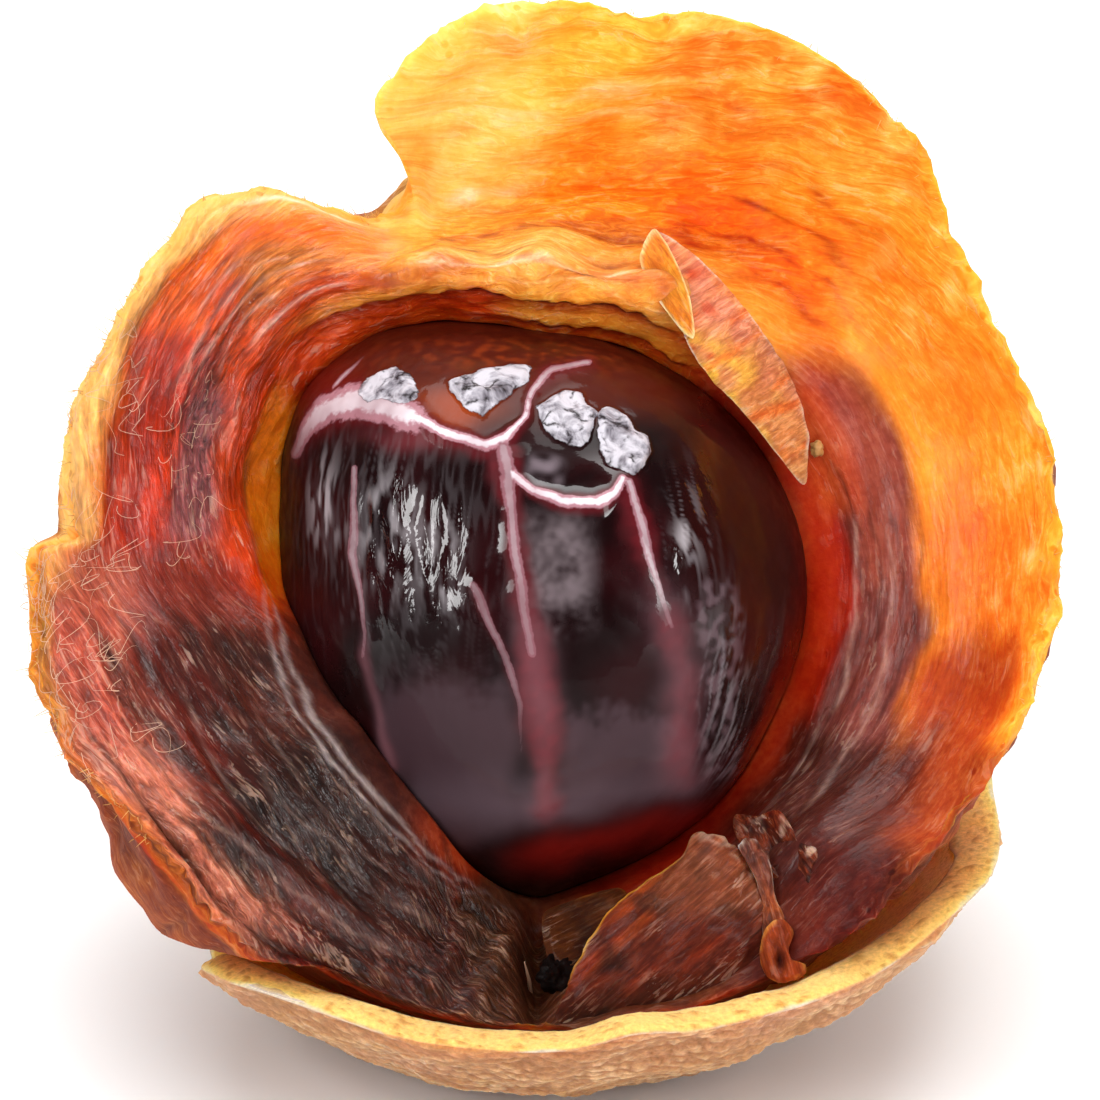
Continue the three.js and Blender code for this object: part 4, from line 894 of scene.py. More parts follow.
# %% Two pale leaves of membrane
sliver = lay_leaf(
    "membrane_leaf",
    [(25.5, 7.08), (35, 6.85), (45, 6.85), (54, 6.95), (61, 7.35), (66, 8.05), (70, 8.9), (73, 9.6), (68, 9.45),
     (60, 9.05), (53, 8.7), (45, 8.4), (35, 7.9), (29, 7.45)],
    lambda x, y: 0.95 - 0.5 * (from_mouth(x, y) - 6.7) - 1.2 * smooth(4.2, 6.6, x), 0.2, 0.12, 80, "#DC8650",
    lambda q, x, y, share, streaks: [
        (YELLOW, 0.7 * smooth(-0.2, 0.3, cloud(q, 0.6, 81)) * smooth(6.0, 4.4, x)),
        ("#D87C62", 0.75 * smooth(7.6, 8.3, from_mouth(x, y) + 0.5 * cloud(q, 0.8, 84))),
        (DEEP_ORANGE, 0.6 * smooth(0.1, 0.4, streaks(82))),
        (RED_ORANGE, 0.6 * smooth(0.25, 0.55, cloud(q, 0.45, 85)) * smooth(4.6, 3.6, x)),
        (PALE_FIBRE_AND_GLINT, 0.8 * smooth(0.93, 1.0, share) * smooth(-0.2, 0.2, cloud(q, 0.7, 83))),
    ],
    torn=0.7, lie=(0.83, 0.55), crinkle=0.6,
)
sliver_end = lay_leaf(
    "membrane_leaf_small",
    [(73.4, 9.64), (71, 9.4), (68.7, 9.05), (64.2, 8.34), (60.5, 7.5), (65.5, 7.71), (70.8, 8.2), (74.3, 8.93)],
    lambda x, y: 0.75 - 0.55 * (from_mouth(x, y) - 7.6), 0.16, 0.12, 90, "#E07A1C",
    lambda q, x, y, share, streaks: [
        (GOLD, 0.4 * smooth(-0.1, 0.5, cloud(q, 0.5, 91))),
        (AMBER, 0.6 * smooth(0.1, 0.4, streaks(92))),
        ("#FCD898", 0.8 * smooth(0.84, 1.0, share)),
    ],
    96, 48, crinkle=0.6,
)


# %% Curl, crumpled patch and peeled strip beside the tab
def curl_eye(x, y):
    """The hollow that the curl is rolled round."""
    return bell(np.hypot((x - 5.55) / 0.16, (y + 10.2) / 0.3), 0, 1)


curl = lay_leaf(
    "flesh_curl",
    [(305.8, 9.39), (307.9, 9.55), (307.7, 9.95), (305.9, 10.21), (305.6, 10.47), (306.5, 10.7), (305.9, 10.89),
     (304.7, 10.87), (302.9, 10.75), (301.6, 10.47), (301.5, 10.11), (303.2, 9.71)],
    lambda x, y: 3.1 - 0.25 * (y + 10) + 0.25 * np.sin(3.4 * x + 1.1 * y) - 0.4 * curl_eye(x, y), 0.3, 0.16, 100,
    "#8E380E",
    lambda q, x, y, share, streaks: [
        (BROWN, 0.7 * smooth(0.0, 0.5, cloud(q, 0.6, 101))),
        ("#D8843A", 0.8 * smooth(0.8, 1.0, share) * smooth(0.0, 0.35, cloud(q, 0.4, 102))),
        # painted shade in the hollow that the curl is rolled round
        (MAROON, 0.9 * curl_eye(x, y)),
    ],
    100, 56, 2.0, (0.3, -0.95), 0.5,
)
patch = lay_leaf(
    "crumpled_patch",
    [(310.5, 7.3), (313, 6.9), (316, 7.3), (319.5, 7.6), (318.5, 8.4), (320, 9.0), (316, 9.1), (313.5, 9.6),
     (311, 8.8), (310, 7.9)],
    lambda x, y: 1.15 + 0.95 * (from_mouth(x, y) - 8) + 0.16 * np.sin(x * 4.2 + y * 2.4), 0.36, 0.12, 110, BROWN,
    lambda q, x, y, share, streaks: [
        (PALE_FIBRE_AND_GLINT, 0.45 * smooth(0.25, 0.5, cloud(q, 0.4, 111))),
        (DARK_BROWN, 0.8 * smooth(0.1, -0.4, cloud(q, 0.5, 112))),
    ],
    130, 64, crinkle=1.0,
)
strip = lay_leaf(
    "peeled_strip",
    [(309.0, 7.94), (309.9, 7.46), (312.7, 7.58), (312.6, 8.04), (311.1, 8.52), (309.0, 9.04), (308.2, 9.5),
     (306.2, 10.0), (303.8, 9.8), (306.4, 9.0), (308.2, 8.44)],
    lambda x, y: tab_depth(x, y) + 0.14 + 0.08 * np.sin(3.0 * y), 0.14, 0.16, 120, "#6A3426",
    lambda q, x, y, share, streaks: [
        ("#A44A1C", 0.8 * smooth(-8.2, -9.2, y) + 0.4 * smooth(0.1, 0.4, streaks(121))),
        (DARK_BROWN, 0.6 * smooth(0.0, 0.4, cloud(q, 0.5, 122))),
        # painted glints along the strip's edge
        ("#D8B4A4", 0.6 * smooth(0.86, 1.0, share) * smooth(-0.1, 0.3, cloud(q, 0.4, 123))),
    ],
    100, 48, 2.0, (0.3, -0.95), 0.8,
)

# %% [markdown]
# ## The seed
#
# The seed coat is hard and as glossy as lacquer. Sugar from the fruit has dried on it: in thin raised veins,
# in crumpled white flakes at the top, and as a smooth grey film low down at the front. The white of the flakes
# and veins and the grey of the film are partly painted reflections of the lamps and the floor, and the glints
# on the side wrinkles and the shade at the seed's foot are painted too. The veins are lines in the mouth
# frame, and a vertex rises when it is near one. At the left and right the coat is drawn into fine upright
# wrinkles.

# %% Veins of dried syrup
SYRUP_VEINS = [
    # height, half width of the raised foot, half width of the pale line on it, how pale, what is left
    # of it at its end, and the line
    (0.16, 0.5, 0.42, 0.92, 0.4, [(-3.4, 2.92), (-3.92, 3.12), (-4.67, 3.31), (-5.41, 3.12), (-5.97, 2.65),
     (-6.25, 2.09)]),
    (0.15, 0.28, 0.15, 1.0, 0.5, [(-3.92, 3.12), (-3.18, 2.84), (-2.43, 2.47), (-1.59, 2.23), (-1.03, 2.47),
     (-0.66, 2.93), (-0.43, 3.59), (-0.01, 4.05), (0.93, 4.26)]),
    (0.12, 0.4, 0.17, 0.5, 0.55, [(-1.13, 2.19), (-1.08, 1.63), (-0.99, 0.6), (-0.8, -0.52), (-0.66, -1.63),
     (-0.45, -2.75)]),
    (0.1, 0.5, 0.42, 0.24, 1, [(-0.8, -0.52), (-0.66, -1.63), (-0.45, -2.75), (-0.19, -3.97), (-0.15, -5.36),
     (-0.1, -6.4)]),
    (0.1, 0.45, 0.13, 0.62, 0.35, [(1.86, 1.35), (2.09, 0.51), (2.32, -0.33), (2.6, -1.26), (2.88, -2.1)]),
    (0.08, 0.55, 0.55, 0.24, 1, [(2.32, -0.33), (2.6, -1.26), (2.88, -2.1), (3.1, -3.13), (3.12, -4.06),
     (3.26, -5.83)]),
    (0.12, 0.22, 0.13, 1.0, 1, [(-0.99, 1.58), (-0.47, 1.16), (0.27, 0.88), (1.11, 0.84), (1.53, 1.12), (1.72, 1.44)]),
    (0.06, 0.2, 0.09, 0.5, 0.4, [(-4.71, 1.72), (-4.71, 0.6), (-4.78, -0.33), (-4.59, -1.45), (-4.48, -2.19),
     (-4.53, -2.85)]),
    (0.05, 0.25, 0.12, 0.25, 1, [(-4.59, -1.45), (-4.48, -2.19), (-4.53, -2.85), (-4.3, -3.69), (-4.11, -4.43),
     (-3.88, -5.46)]),
    (0.06, 0.25, 0.11, 0.36, 0.2, [(-1.87, -1.12), (-1.5, -1.91), (-1.08, -2.85), (-0.75, -3.97), (-0.66, -5.18)]),
    (0.04, 0.12, 0.06, 0.7, 0.3, [(-5.75, 3.85), (-5.0, 4.65)]),
    (0.04, 0.12, 0.05, 0.6, 0.3, [(-5.3, 3.75), (-4.55, 4.5)]),
    (0.04, 0.12, 0.05, 0.6, 0.3, [(-6.2, 3.2), (-5.7, 3.9)]),
]
SYRUP_FLAKES = [
    # the outline of each crumpled flake of sugar
    [(-2.53, 3.83), (-2.07, 3.97), (-1.36, 4.17), (-0.56, 4.26), (-0.39, 4.14), (-0.56, 3.73), (-0.93, 3.44),
     (-1.22, 3.29), (-1.66, 2.88), (-2.0, 3.0), (-2.29, 3.29), (-2.44, 3.58)],
    [(-0.39, 3.22), (-0.07, 3.44), (0.29, 3.66), (0.73, 3.58), (0.93, 3.29), (1.15, 3.07), (1.07, 2.71), (0.93, 2.36),
     (0.73, 2.14), (0.37, 2.22), (0.07, 2.36), (-0.15, 2.63), (-0.32, 2.92)],
    [(1.1, 3.0), (1.36, 3.22), (1.66, 3.17), (1.88, 3.02), (2.07, 2.71), (2.36, 2.51), (2.44, 2.07), (2.29, 1.71),
     (2.02, 1.46), (1.66, 1.58), (1.36, 1.83), (1.15, 2.14), (1.08, 2.6)],
    [(-4.65, 3.44), (-4.51, 4.0), (-4.14, 4.17), (-3.73, 4.22), (-3.39, 4.0), (-3.19, 3.66), (-3.22, 3.29),
     (-3.58, 3.14), (-4.02, 3.29), (-4.36, 3.22)],
]


def line_distance(q, line):
    """Distance from a broken line, and how far along the line that is, from 0 to 1."""
    best, share = np.full(len(q), np.inf), np.zeros(len(q))
    for n, (a, b) in enumerate(zip(np.array(line[:-1]), np.array(line[1:]))):
        t = np.clip(((q - a) @ (b - a)) / ((b - a) @ (b - a)), 0, 1)
        d = np.linalg.norm(q - a - t[:, None] * (b - a), axis=1)
        share = np.where(d < best, (n + t) / (len(line) - 1), share)
        best = np.minimum(best, d)
    return best, share


def depth_inside(q, outline):
    """Distance in from an outline, and 0 outside it."""
    ring = np.array(outline)
    inside = np.zeros(len(q), bool)
    for (ax, ay), (bx, by) in zip(ring, np.roll(ring, -1, axis=0)):
        if ay != by:
            inside ^= ((ay > q[:, 1]) != (by > q[:, 1])) & (q[:, 0] < (bx - ax) * (q[:, 1] - ay) / (by - ay) + ax)
    return inside * line_distance(q, [*outline, outline[0]])[0]


# %% Lay the seed
SEED_COLUMNS, SEED_RINGS = 430, 220
LEAST_VEIN = 0.3  # a line that is less pale than this is a wash without an edge
seed_turn = math.pi * crowded(SEED_RINGS, lambda s: np.where(s < 0.62, 1.5, 0.6))


def place_seed(column, ring):
    a, lat = column * math.tau / SEED_COLUMNS, math.pi / 2 - seed_turn[ring]
    radius = seed_outline(np.degrees(a))[:, 0]
    n = xyz(np.cos(lat) * np.cos(a), np.cos(lat) * np.sin(a), np.sin(lat))
    q = SEED_MIDDLE + n * xyz(radius, radius, SEED_HALF)
    x, y, z = q.T
    front = smooth(0.05, 0.4, n[:, 2])
    wander = q[:, :2] + 0.07 * xyz(cloud(q, 0.8, 51), cloud(q, 0.8, 52))[:, :2]
    swell = 1 + 0.5 * cloud(q, 1.6, 61) + 0.15 * cloud(q, 0.4, 62)
    fade = np.clip(0.95 + 0.5 * cloud(q, 1.4, 68) + 0.15 * cloud(q, 0.3, 69), 0.5, 1.1)
    vein, wash, strength, flake, sugar = np.zeros((5, len(q)))
    near = np.full(len(q), -1.0)
    for height, foot, width, paleness, end, line in SYRUP_VEINS:
        d, share = line_distance(wander, line)
        is_wash = paleness < LEAST_VEIN
        left_over = smooth(0, 0.45, share) if is_wash else 1 - (1 - end) * smooth(0.4, 1, share)
        vein = np.maximum(vein, height * left_over * swell * bell(d, 0, foot * swell))
        if is_wash:
            wash = np.maximum(wash, paleness * fade * left_over * bell(d, 0, width * swell))
            continue
        closeness = 1 - d / (width * swell * left_over)
        strength = np.where(closeness > near, paleness * fade * left_over, strength)
        near = np.maximum(near, closeness)
    jagged = q[:, :2] + 0.1 * xyz(cloud(q, 0.45, 53), cloud(q, 0.45, 60))[:, :2]
    for outline in SYRUP_FLAKES:
        inside = depth_inside(jagged, outline)
        flake = np.maximum(flake, 0.13 * smooth(0.0, 0.16, inside))
        sugar = np.maximum(sugar, np.minimum(inside / 0.2, 1))
    left = bell(x, -3.7, 1.9) * bell(y, 0.0, 2.4)
    right = bell(x, 3.3, 0.45) * bell(y, 0.0, 1.2) + bell(x, 4.2, 0.5) * bell(y, -4.0, 1.8)
    # coordinates for upright wrinkles: the way round the seed's upright middle, and the height
    lie = xyz(np.arctan2(x - MOUTH_X, z - SEED_DEPTH) * SEED_HALF, y)
    wrinkles, crumple = ridged(lie, (0.5, 1.8, 1), 54) - 0.6, ridged(q, 0.75, 55) - 0.6
    h = front * (np.maximum(vein, flake) + 0.06 * (left + 0.6 * right) * wrinkles)
    h += front * 0.09 * smooth(0.03, 0.12, flake) * crumple
    h += 0.1 * ripple(q, 2.4, 5) * smooth(-0.1, 0.5, n[:, 2]) + 0.012 * cloud(q, 0.5, 56)
    wrinkled = np.clip(left + right, 0, 1)
    fields = (front * field for field in (vein, wash, sugar, strength, wrinkled))
    return upright(q + n * h[:, None]), (q, lie, near * front - (1 - front), *fields)


seed, seed_fields = lay_skin("seed_ball", SEED_COLUMNS, SEED_RINGS, place_seed)

# %% Paint the seed
SEED_BLACK, SEED_MAROON, SEED_RED, SEED_BROWN, SEED_GLOW = "#140607", "#2A080B", "#70100C", "#4A1408", "#9C3C0C"
SYRUP_PINK, SYRUP_WHITE_AND_HIGHLIGHT, SYRUP_WINE, FILM_AND_REFLECTION_GREY = "#A87680", "#DCD0D6", "#5A1018", "#423036"
SEED_GLINTS = [(-5.45, 0.8, 0.4, 1.0), (3.3, -0.1, 0.26, 0.8), (-2.7, -0.5, 0.45, 1.0), (-4.0, 0.3, 0.6, 1.2)]
q, lie, near, vein, wash, sugar, strength, wrinkled = seed_fields
x, y = q[:, 0] + 0.25 * cloud(q, 1.1, 63), q[:, 1] + 0.25 * cloud(q, 1.1, 64)
speckle = smooth(-0.1, 0.35, cloud(q, 0.3, 65))


def patch_of(x0, x1, y0, y1, soft=0.25):
    """1 inside a rectangle of the mouth frame, fading at its sides."""
    return between(x0, x1, soft, x) * between(y0, y1, soft, y)


mottle = smooth(-0.7, 0.7, cloud(q, 0.8, 70) + 0.4 * cloud(q, 0.2, 71))
film_edge = 0.5 * cloud(q, 0.9, 72) + 0.4 * cloud(q, 0.25, 73) - y
# below this foot line the coat is painted black: painted shade
foot = -7.0 + 0.3 * x - 0.025 * x**2
wine = np.clip(vein / 0.15, 0, 1)
glint_streak = smooth(0.14, 0.36, ridged(lie, (0.26, 1.7, 1), 66) - 0.6) * wrinkled
broad_streak = smooth(0.0, 0.3, cloud(lie, (0.3, 1.0, 1), 75) + 0.3 * cloud(lie, (0.1, 0.5, 1), 76))
paint_piece(seed, SEED_BLACK, [
    # the coat shows red and brown at the top and the sides
    (SEED_MAROON, 0.8 * smooth(-0.2, 0.5, cloud(q, 2.0, 57))),
    (SEED_BROWN, 0.9 * smooth(2.4, 3.6, y)),
    ("#2A0806", 0.8 * smooth(2.6, 3.8, x) * smooth(-4.5, 1.0, y)),
    (SEED_GLOW, 0.7 * bell(x, -2.3, 0.95) * bell(y, 3.1, 0.5)),
    ("#8A3410", 0.55 * bell(x, -1.0, 2.8) * bell(y, 4.5, 0.4) * speckle),
    (SEED_RED, 0.5 * bell(x, -5.6, 1.0) * bell(y, 3.9, 0.9)),
    # films of dried syrup; their greys are partly painted reflections of the floor and the lamps
    ("#74666A", 0.8 * patch_of(-0.6, 0.9, -2.2, 0.6, 0.45) * mottle),
    ("#8E7E86", 0.6 * patch_of(-0.6, 0.3, 1.25, 2.0, 0.15) * smooth(-0.5, 0.5, cloud(q, 0.4, 74))),
    ("#6E2A30", 0.6 * bell(x, -3.2, 1.3) * bell(y, 2.4, 0.28)),
    (FILM_AND_REFLECTION_GREY, 0.75 * patch_of(-4.2, -0.9, -9, -1, 0.3) * smooth(-0.7, 0.7, film_edge - 3.4)),
    (FILM_AND_REFLECTION_GREY, 0.85 * patch_of(0.3, 3.3, -9, -2) * smooth(-0.4, 0.4, film_edge - 4.2)),
    ("#52424A", 0.8 * bell(y, -6.5, 0.7) * patch_of(-3.4, 3.6, -9, -4)),
    ("#5E4A50", 0.75 * patch_of(3.6, 4.5, -5.9, -1.1, 0.18) * speckle),
    # painted shade at the foot, the red round the veins, and painted glints: streaks of lamp reflection on the wrinkles
    (SEED_BLACK, 0.9 * smooth(foot + 0.5, foot - 0.3, y)),
    (SEED_RED, 0.9 * bell(y, foot - 0.7, 0.5) * smooth(-1.8, 0.2, x) * smooth(5.4, 4.4, x)),
    (SYRUP_WINE, 0.9 * smooth(0.15, 0.7, wine) * (0.75 + 0.25 * speckle)),
    ("#7A7276", (0.26 + 0.45 * smooth(2.5, 3.0, x)) * glint_streak),
    *(("#B0A8AC", 0.7 * bell(x, mx, hx) * bell(y, my, hy) * broad_streak) for mx, my, hx, hy in SEED_GLINTS),
    (SYRUP_PINK, 0.8 * wash),
    (SEED_BLACK, 0.95 * bell(x, 0.85, 0.42) * bell(y, 1.4, 0.26)),
])
film = patch_of(-4.6, 4.4, -9, -2.2, 1.0) + smooth(0.1, 0.5, sugar) + 0.85 * patch_of(-4.8, 3.6, 1.9, 6.0, 0.4)
film += 0.95 * smooth(3.8, 4.6, np.abs(x + 0.3)) * smooth(-3.5, -1, y) + 0.8 * smooth(0.1, 0.5, wine)
keep_field(seed, "lie", lie)
keep_field(seed, "coating", xyz(wrinkled, np.clip(film, 0, 1), np.clip(strength, 0, 1)))
keep_field(seed, "syrup", xyz(near, sugar))

# %% [markdown]
# ## Fuzz, threads and a bristle
#
# Torn flesh ends in fibres. Short ones stand on the rim, where light catches them as a pale fringe, and many
# longer threads lie loosely over the left side. One stiff bristle stands at the seam. They are drawn as
# bevelled curves and turned to mesh, because the export keeps meshes.

# %% Draw fibres as tubes
def draw_fibres(name, lines, thickness):
    curve = bpy.data.curves.new(name, "CURVE")
    curve.dimensions = "3D"
    curve.bevel_depth = thickness * MM
    curve.bevel_resolution = 1
    curve.use_fill_caps = True
    for points in lines:
        spline = curve.splines.new("POLY")
        spline.points.add(len(points) - 1)
        taper = 1 - 0.75 * np.linspace(0, 1, len(points)) ** 2
        for knot, point, r in zip(spline.points, points, taper):
            knot.co = (*point, 1)
            knot.radius = r
    piece = bpy.data.objects.new(name, curve)
    bpy.context.collection.objects.link(piece)
    bpy.ops.object.select_all(action="DESELECT")
    piece.select_set(True)
    bpy.context.view_layer.objects.active = piece
    bpy.ops.object.convert(target="MESH")
    piece = bpy.context.object
    bpy.ops.object.shade_smooth()
    print(name, len(lines), "fibres,", len(piece.data.polygons), "faces")
    return piece


def flesh_at(angle, row):
    """Points on the flesh in metres, with its outward direction."""
    angle, row = np.atleast_1d(angle).astype(float) % 360, np.atleast_1d(row).astype(float)
    at, normal, _ = flesh_surface(angle, row, *section_points(angle))
    return on_table(held_in(upright(at))), upright(normal)


# %% Fringe on the torn rim
rng = np.random.default_rng(27)
FRINGE_SIDES = [
    # first angle, last angle, how many fibres, their length in mm
    (112, 178, 230, 0.45), (38, 106, 190, 0.3), (178, 212, 90, 0.45), (-18, 38, 120, 0.22),
]
fringe_lines = []
for start, end, count, length in FRINGE_SIDES:
    angles, rows = rng.uniform(start, end, count), rng.uniform(10.5, 11.7, count)
    for root, way in zip(*flesh_at(angles, rows)):
        way = way / np.linalg.norm(way)
        sideways = rng.normal(size=3) * 0.7
        reach = length * rng.uniform(0.25, 1.0) * MM
        t = np.linspace(0, 1, 5)[:, None]
        fringe_lines.append(root - way * 0.03 * MM + reach * (way * t * 0.6 + sideways * t**2 * 0.6))
fringe = draw_fibres("rim_fringe", fringe_lines, 0.012)

# %% Long threads on the left side, fewer of them on the dark mass
THREADS = 110
thread_lines = []
for i in range(THREADS):
    angle0 = rng.uniform(145, 200)
    row0 = rng.uniform(6.9 + 1.8 * smooth(165, 182, angle0), 11.0)
    along = np.linspace(0, 1, 14)
    angles = angle0 + along * rng.uniform(-6, 6) + rng.uniform(0.6, 1.6) * np.sin(along * rng.uniform(3, 9))
    rows = row0 + along * rng.uniform(-0.8, 0.8) + rng.uniform(0.0, 0.35) * np.sin(along * rng.uniform(3, 9))
    at, way = flesh_at(angles, np.clip(rows, 6, 11.3))
    lift = (0.04 + rng.uniform(0.0, 0.16) * np.sin(along * math.pi)) * MM
    thread_lines.append(at + way * lift[:, None])
threads = draw_fibres("loose_threads", thread_lines, 0.008)

# %% The bristle and the knob at the seam, and the crumb on the right wall
bristle_root = flesh_at(268.5, 8.4)[0][0]
BRISTLE = np.array([(0, 0.1, -0.2), (-0.05, -0.25, 0.5), (-0.16, -0.5, 1.15)])
bristle = draw_fibres("bristle", [bristle_root + BRISTLE * MM], 0.06)


def lump(name, angle, row, rise, size, seed, detail):
    """An uneven ball that stands on the flesh. rise and size are in mm."""
    at, way = (v[0] for v in flesh_at(angle, row))
    bpy.ops.object.select_all(action="DESELECT")
    bpy.ops.mesh.primitive_ico_sphere_add(subdivisions=detail, radius=1)
    piece = bpy.context.object
    piece.name = piece.data.name = name
    for v in piece.data.vertices:
        swell = 1 + 0.35 * noise.noise(v.co * 1.7 + Vector((seed, 0, 0))) + 0.15 * noise.noise(v.co * 5)
        v.co = Vector(at + way * rise * MM) + Vector(c * s for c, s in zip(v.co * swell, size)) * MM
    bpy.ops.object.shade_smooth()
    return piece


crumb = lump("crumb", 30.0, 6.3, 0.12, (0.17, 0.15, 0.2), 3, 4)
knob = lump("seam_knob", 273.0, 8.6, 0.15, (0.5, 0.42, 0.48), 5, 5)
knob_count = len(knob.data.vertices)
paint_piece(knob, BLACK_BROWN, [])
keep_field(knob, "grain", np.tile([0.0, 0.6, 0.0], (knob_count, 1)))
keep_field(knob, "crinkled", np.ones(knob_count))

# %% [markdown]
# ## Finishes
#
# Each material is named for what the piece is made of. Colour comes from the paint, grain and fibres from
# noise in real millimetres, and gloss from the shader.

# %% A node with its settings and links
def add(tree, kind, *inputs, **named):
    """Its inputs in use come in their own order or by Name, and its settings by name. A node that is given as
    an input stands for its first output in use, and a hex string for its colour."""
    node = tree.nodes.new("ShaderNode" + kind)
    for name, value in named.items():
        if name[0].islower():
            setattr(node, name, value)
    pairs = list(zip([socket for socket in node.inputs if socket.enabled], inputs))
    pairs += [(node.inputs[name.replace("_", " ")], value) for name, value in named.items() if name[0].isupper()]
    for socket, value in pairs:
        if isinstance(value, bpy.types.Node):
            value = next(output for output in value.outputs if output.enabled)
        if isinstance(value, bpy.types.NodeSocket):
            tree.links.new(value, socket)
        else:
            socket.default_value = (*linear(value), 1) if isinstance(value, str) else value
    return node


def new_material(name):
    material = bpy.data.materials.new(name)
    material.use_nodes = True
    material.node_tree.nodes.clear()
    return material, material.node_tree


def per_mm(size):
    """Noise scale for features of that size in mm, when the coordinates are metres."""
    return 1 / (size * MM)


# %% Dried flesh: sticky, translucent, fibrous
def dried_flesh(name, wet, fibre_height):
    material, tree = new_material(name)
    paint = add(tree, "VertexColor", layer_name="paint")
    place = add(tree, "TexCoord").outputs["Object"]
    fibres, grain = (add(tree, "Attribute", attribute_name=field).outputs["Vector"] for field in ("fibre", "grain"))
    fibrous, moist, rimward = add(tree, "SeparateXYZ", grain).outputs
    crinkled = add(tree, "Attribute", attribute_name="crinkled").outputs["Fac"]
    # three noises in mm, narrower across the fibres than along them
    stretches = (((1, 1, 6), 0.55, 0.45), ((1, 1, 10.5), 0.6, 0.35), ((1.6, 1.6, 5.6), 0.6, 0.9))
    wrinkle, strand, crumple = (
        add(tree, "TexNoise", add(tree, "Mapping", fibres, Scale=scale), 1.0, 3.0, roughness, Distortion=bend)
        for scale, roughness, bend in stretches
    )
    speck = add(tree, "TexNoise", place, per_mm(0.22), 4.0, 0.6)
    patchy = add(tree, "TexNoise", place, per_mm(1.4), 4.0)
    # thin wandering dashes, where the noise is highest
    wrinkle_crest = add(tree, "MapRange", wrinkle, 0.6, 0.66, interpolation_type="SMOOTHSTEP")
    crumple_crest = add(tree, "MapRange", crumple, 0.58, 0.64, interpolation_type="SMOOTHSTEP")
    # colour: darker between the strands, painted shade in the hollows of the crumples, specks everywhere, dots at the
    # dry rim
    streaks = add(tree, "MapRange", strand, 0.36, 0.64, 0.6, 1.2)
    clouds = add(tree, "MapRange", patchy, 0.36, 0.62, 0.84, 1.08)
    streaked = add(tree, "Mix", fibrous, clouds, streaks)
    crumple_shade = add(tree, "MapRange", crumple, 0.38, 0.6, 0.35, 1.25)
    crumple_shaded = add(tree, "Mix", crinkled, 1.0, crumple_shade)
    specks = add(tree, "MapRange", speck, 0.3, 0.6, 0.84, 1.04)
    dots = add(tree, "TexVoronoi", place, per_mm(0.55), Randomness=1.0)
    dotted = add(tree, "MapRange", dots, 0.12, 0.22, 0.6, 0.0)
    dotted_rim = add(tree, "Math", dotted, rimward, operation="MULTIPLY")
    undotted = add(tree, "Math", 1.0, dotted_rim, operation="SUBTRACT")
    fine_shade = add(tree, "Math", specks, undotted, operation="MULTIPLY")
    broad_shade = add(tree, "Math", streaked, crumple_shaded, operation="MULTIPLY")
    shade = add(tree, "Math", fine_shade, broad_shade, operation="MULTIPLY")
    dark = add(tree, "Mix", 1.0, paint, shade, data_type="RGBA", blend_type="MULTIPLY")
    # clear flesh goes redder, not greyer, where this shade is darker, the painted shade in the crumples included
    deep = add(tree, "Gamma", paint, add(tree, "MapRange", shade, 0.5, 1.2, 1.45, 0.75))
    tint = add(tree, "Mix", fibrous, deep, dark, data_type="RGBA")
    # pale crests, in patches: painted glints on the crests of the wrinkles and crumples, partly pale fibre
    patches = add(tree, "MapRange", patchy, 0.46, 0.6, 0.06, 0.6)
    thin = add(tree, "MapRange", strand, 0.56, 0.66, 0.0, 0.7)
    lines = add(tree, "Math", wrinkle_crest, thin, operation="MAXIMUM")
    fine_lines = add(tree, "Math", lines, fibrous, operation="MULTIPLY")
    curls = add(tree, "Math", crumple_crest, 0.8, operation="MULTIPLY")
    curled = add(tree, "Math", curls, crinkled, operation="MULTIPLY")
    crests = add(tree, "Math", fine_lines, curled, operation="MAXIMUM")
    pale = add(tree, "Math", crests, patches, operation="MULTIPLY")
    sheen = add(tree, "Mix", 0.6, paint, PALE_FIBRE_AND_GLINT, data_type="RGBA")
    lit = add(tree, "Mix", pale, tint, sheen, data_type="RGBA")
    # gloss: sticky where wet, duller on the skin side and at the dry rim
    uneven = add(tree, "MapRange", patchy, 0.35, 0.65, wet, wet + 0.25)
    dry = add(tree, "MapRange", moist, To_Min=0.32, To_Max=0.0)
    clear = add(tree, "MapRange", fibrous, To_Min=0.25, To_Max=0.0)
    dull = add(tree, "Math", dry, clear, operation="ADD")
    rough = add(tree, "Math", uneven, dull, operation="ADD")
    sticky = add(tree, "MapRange", fibrous, To_Min=0.06, To_Max=0.6)
    coat = add(tree, "Math", moist, sticky, operation="MULTIPLY")
    # relief: strands, crumples and specks
    crest_height = add(tree, "Math", wrinkle_crest, 0.35, operation="MULTIPLY")
    strand_height = add(tree, "Math", strand, 0.7, crest_height, operation="MULTIPLY_ADD")
    strands = add(tree, "Math", strand_height, fibrous, operation="MULTIPLY")
    curl_height = add(tree, "Math", crumple_crest, 0.4, operation="MULTIPLY")
    crumple_height = add(tree, "Math", crumple, 1.2, curl_height, operation="MULTIPLY_ADD")
    crumples = add(tree, "Math", crumple_height, crinkled, operation="MULTIPLY")
    height = add(tree, "Math", strands, crumples, operation="ADD")
    total = add(tree, "Math", speck, 0.25, height, operation="MULTIPLY_ADD")
    bump = add(tree, "Bump", Strength=0.8, Distance=fibre_height * MM, Height=total)
    shader = add(
        tree, "BsdfPrincipled", lit, Roughness=rough, IOR=1.47, Normal=bump, Specular_IOR_Level=0.15,
        Subsurface_Weight=0.5, Subsurface_Radius=(1.0, 0.32, 0.1), Subsurface_Scale=1.3 * MM,
        Coat_Weight=coat, Coat_Roughness=0.12, Coat_Normal=bump,
    )
    add(tree, "OutputMaterial", shader)
    return material


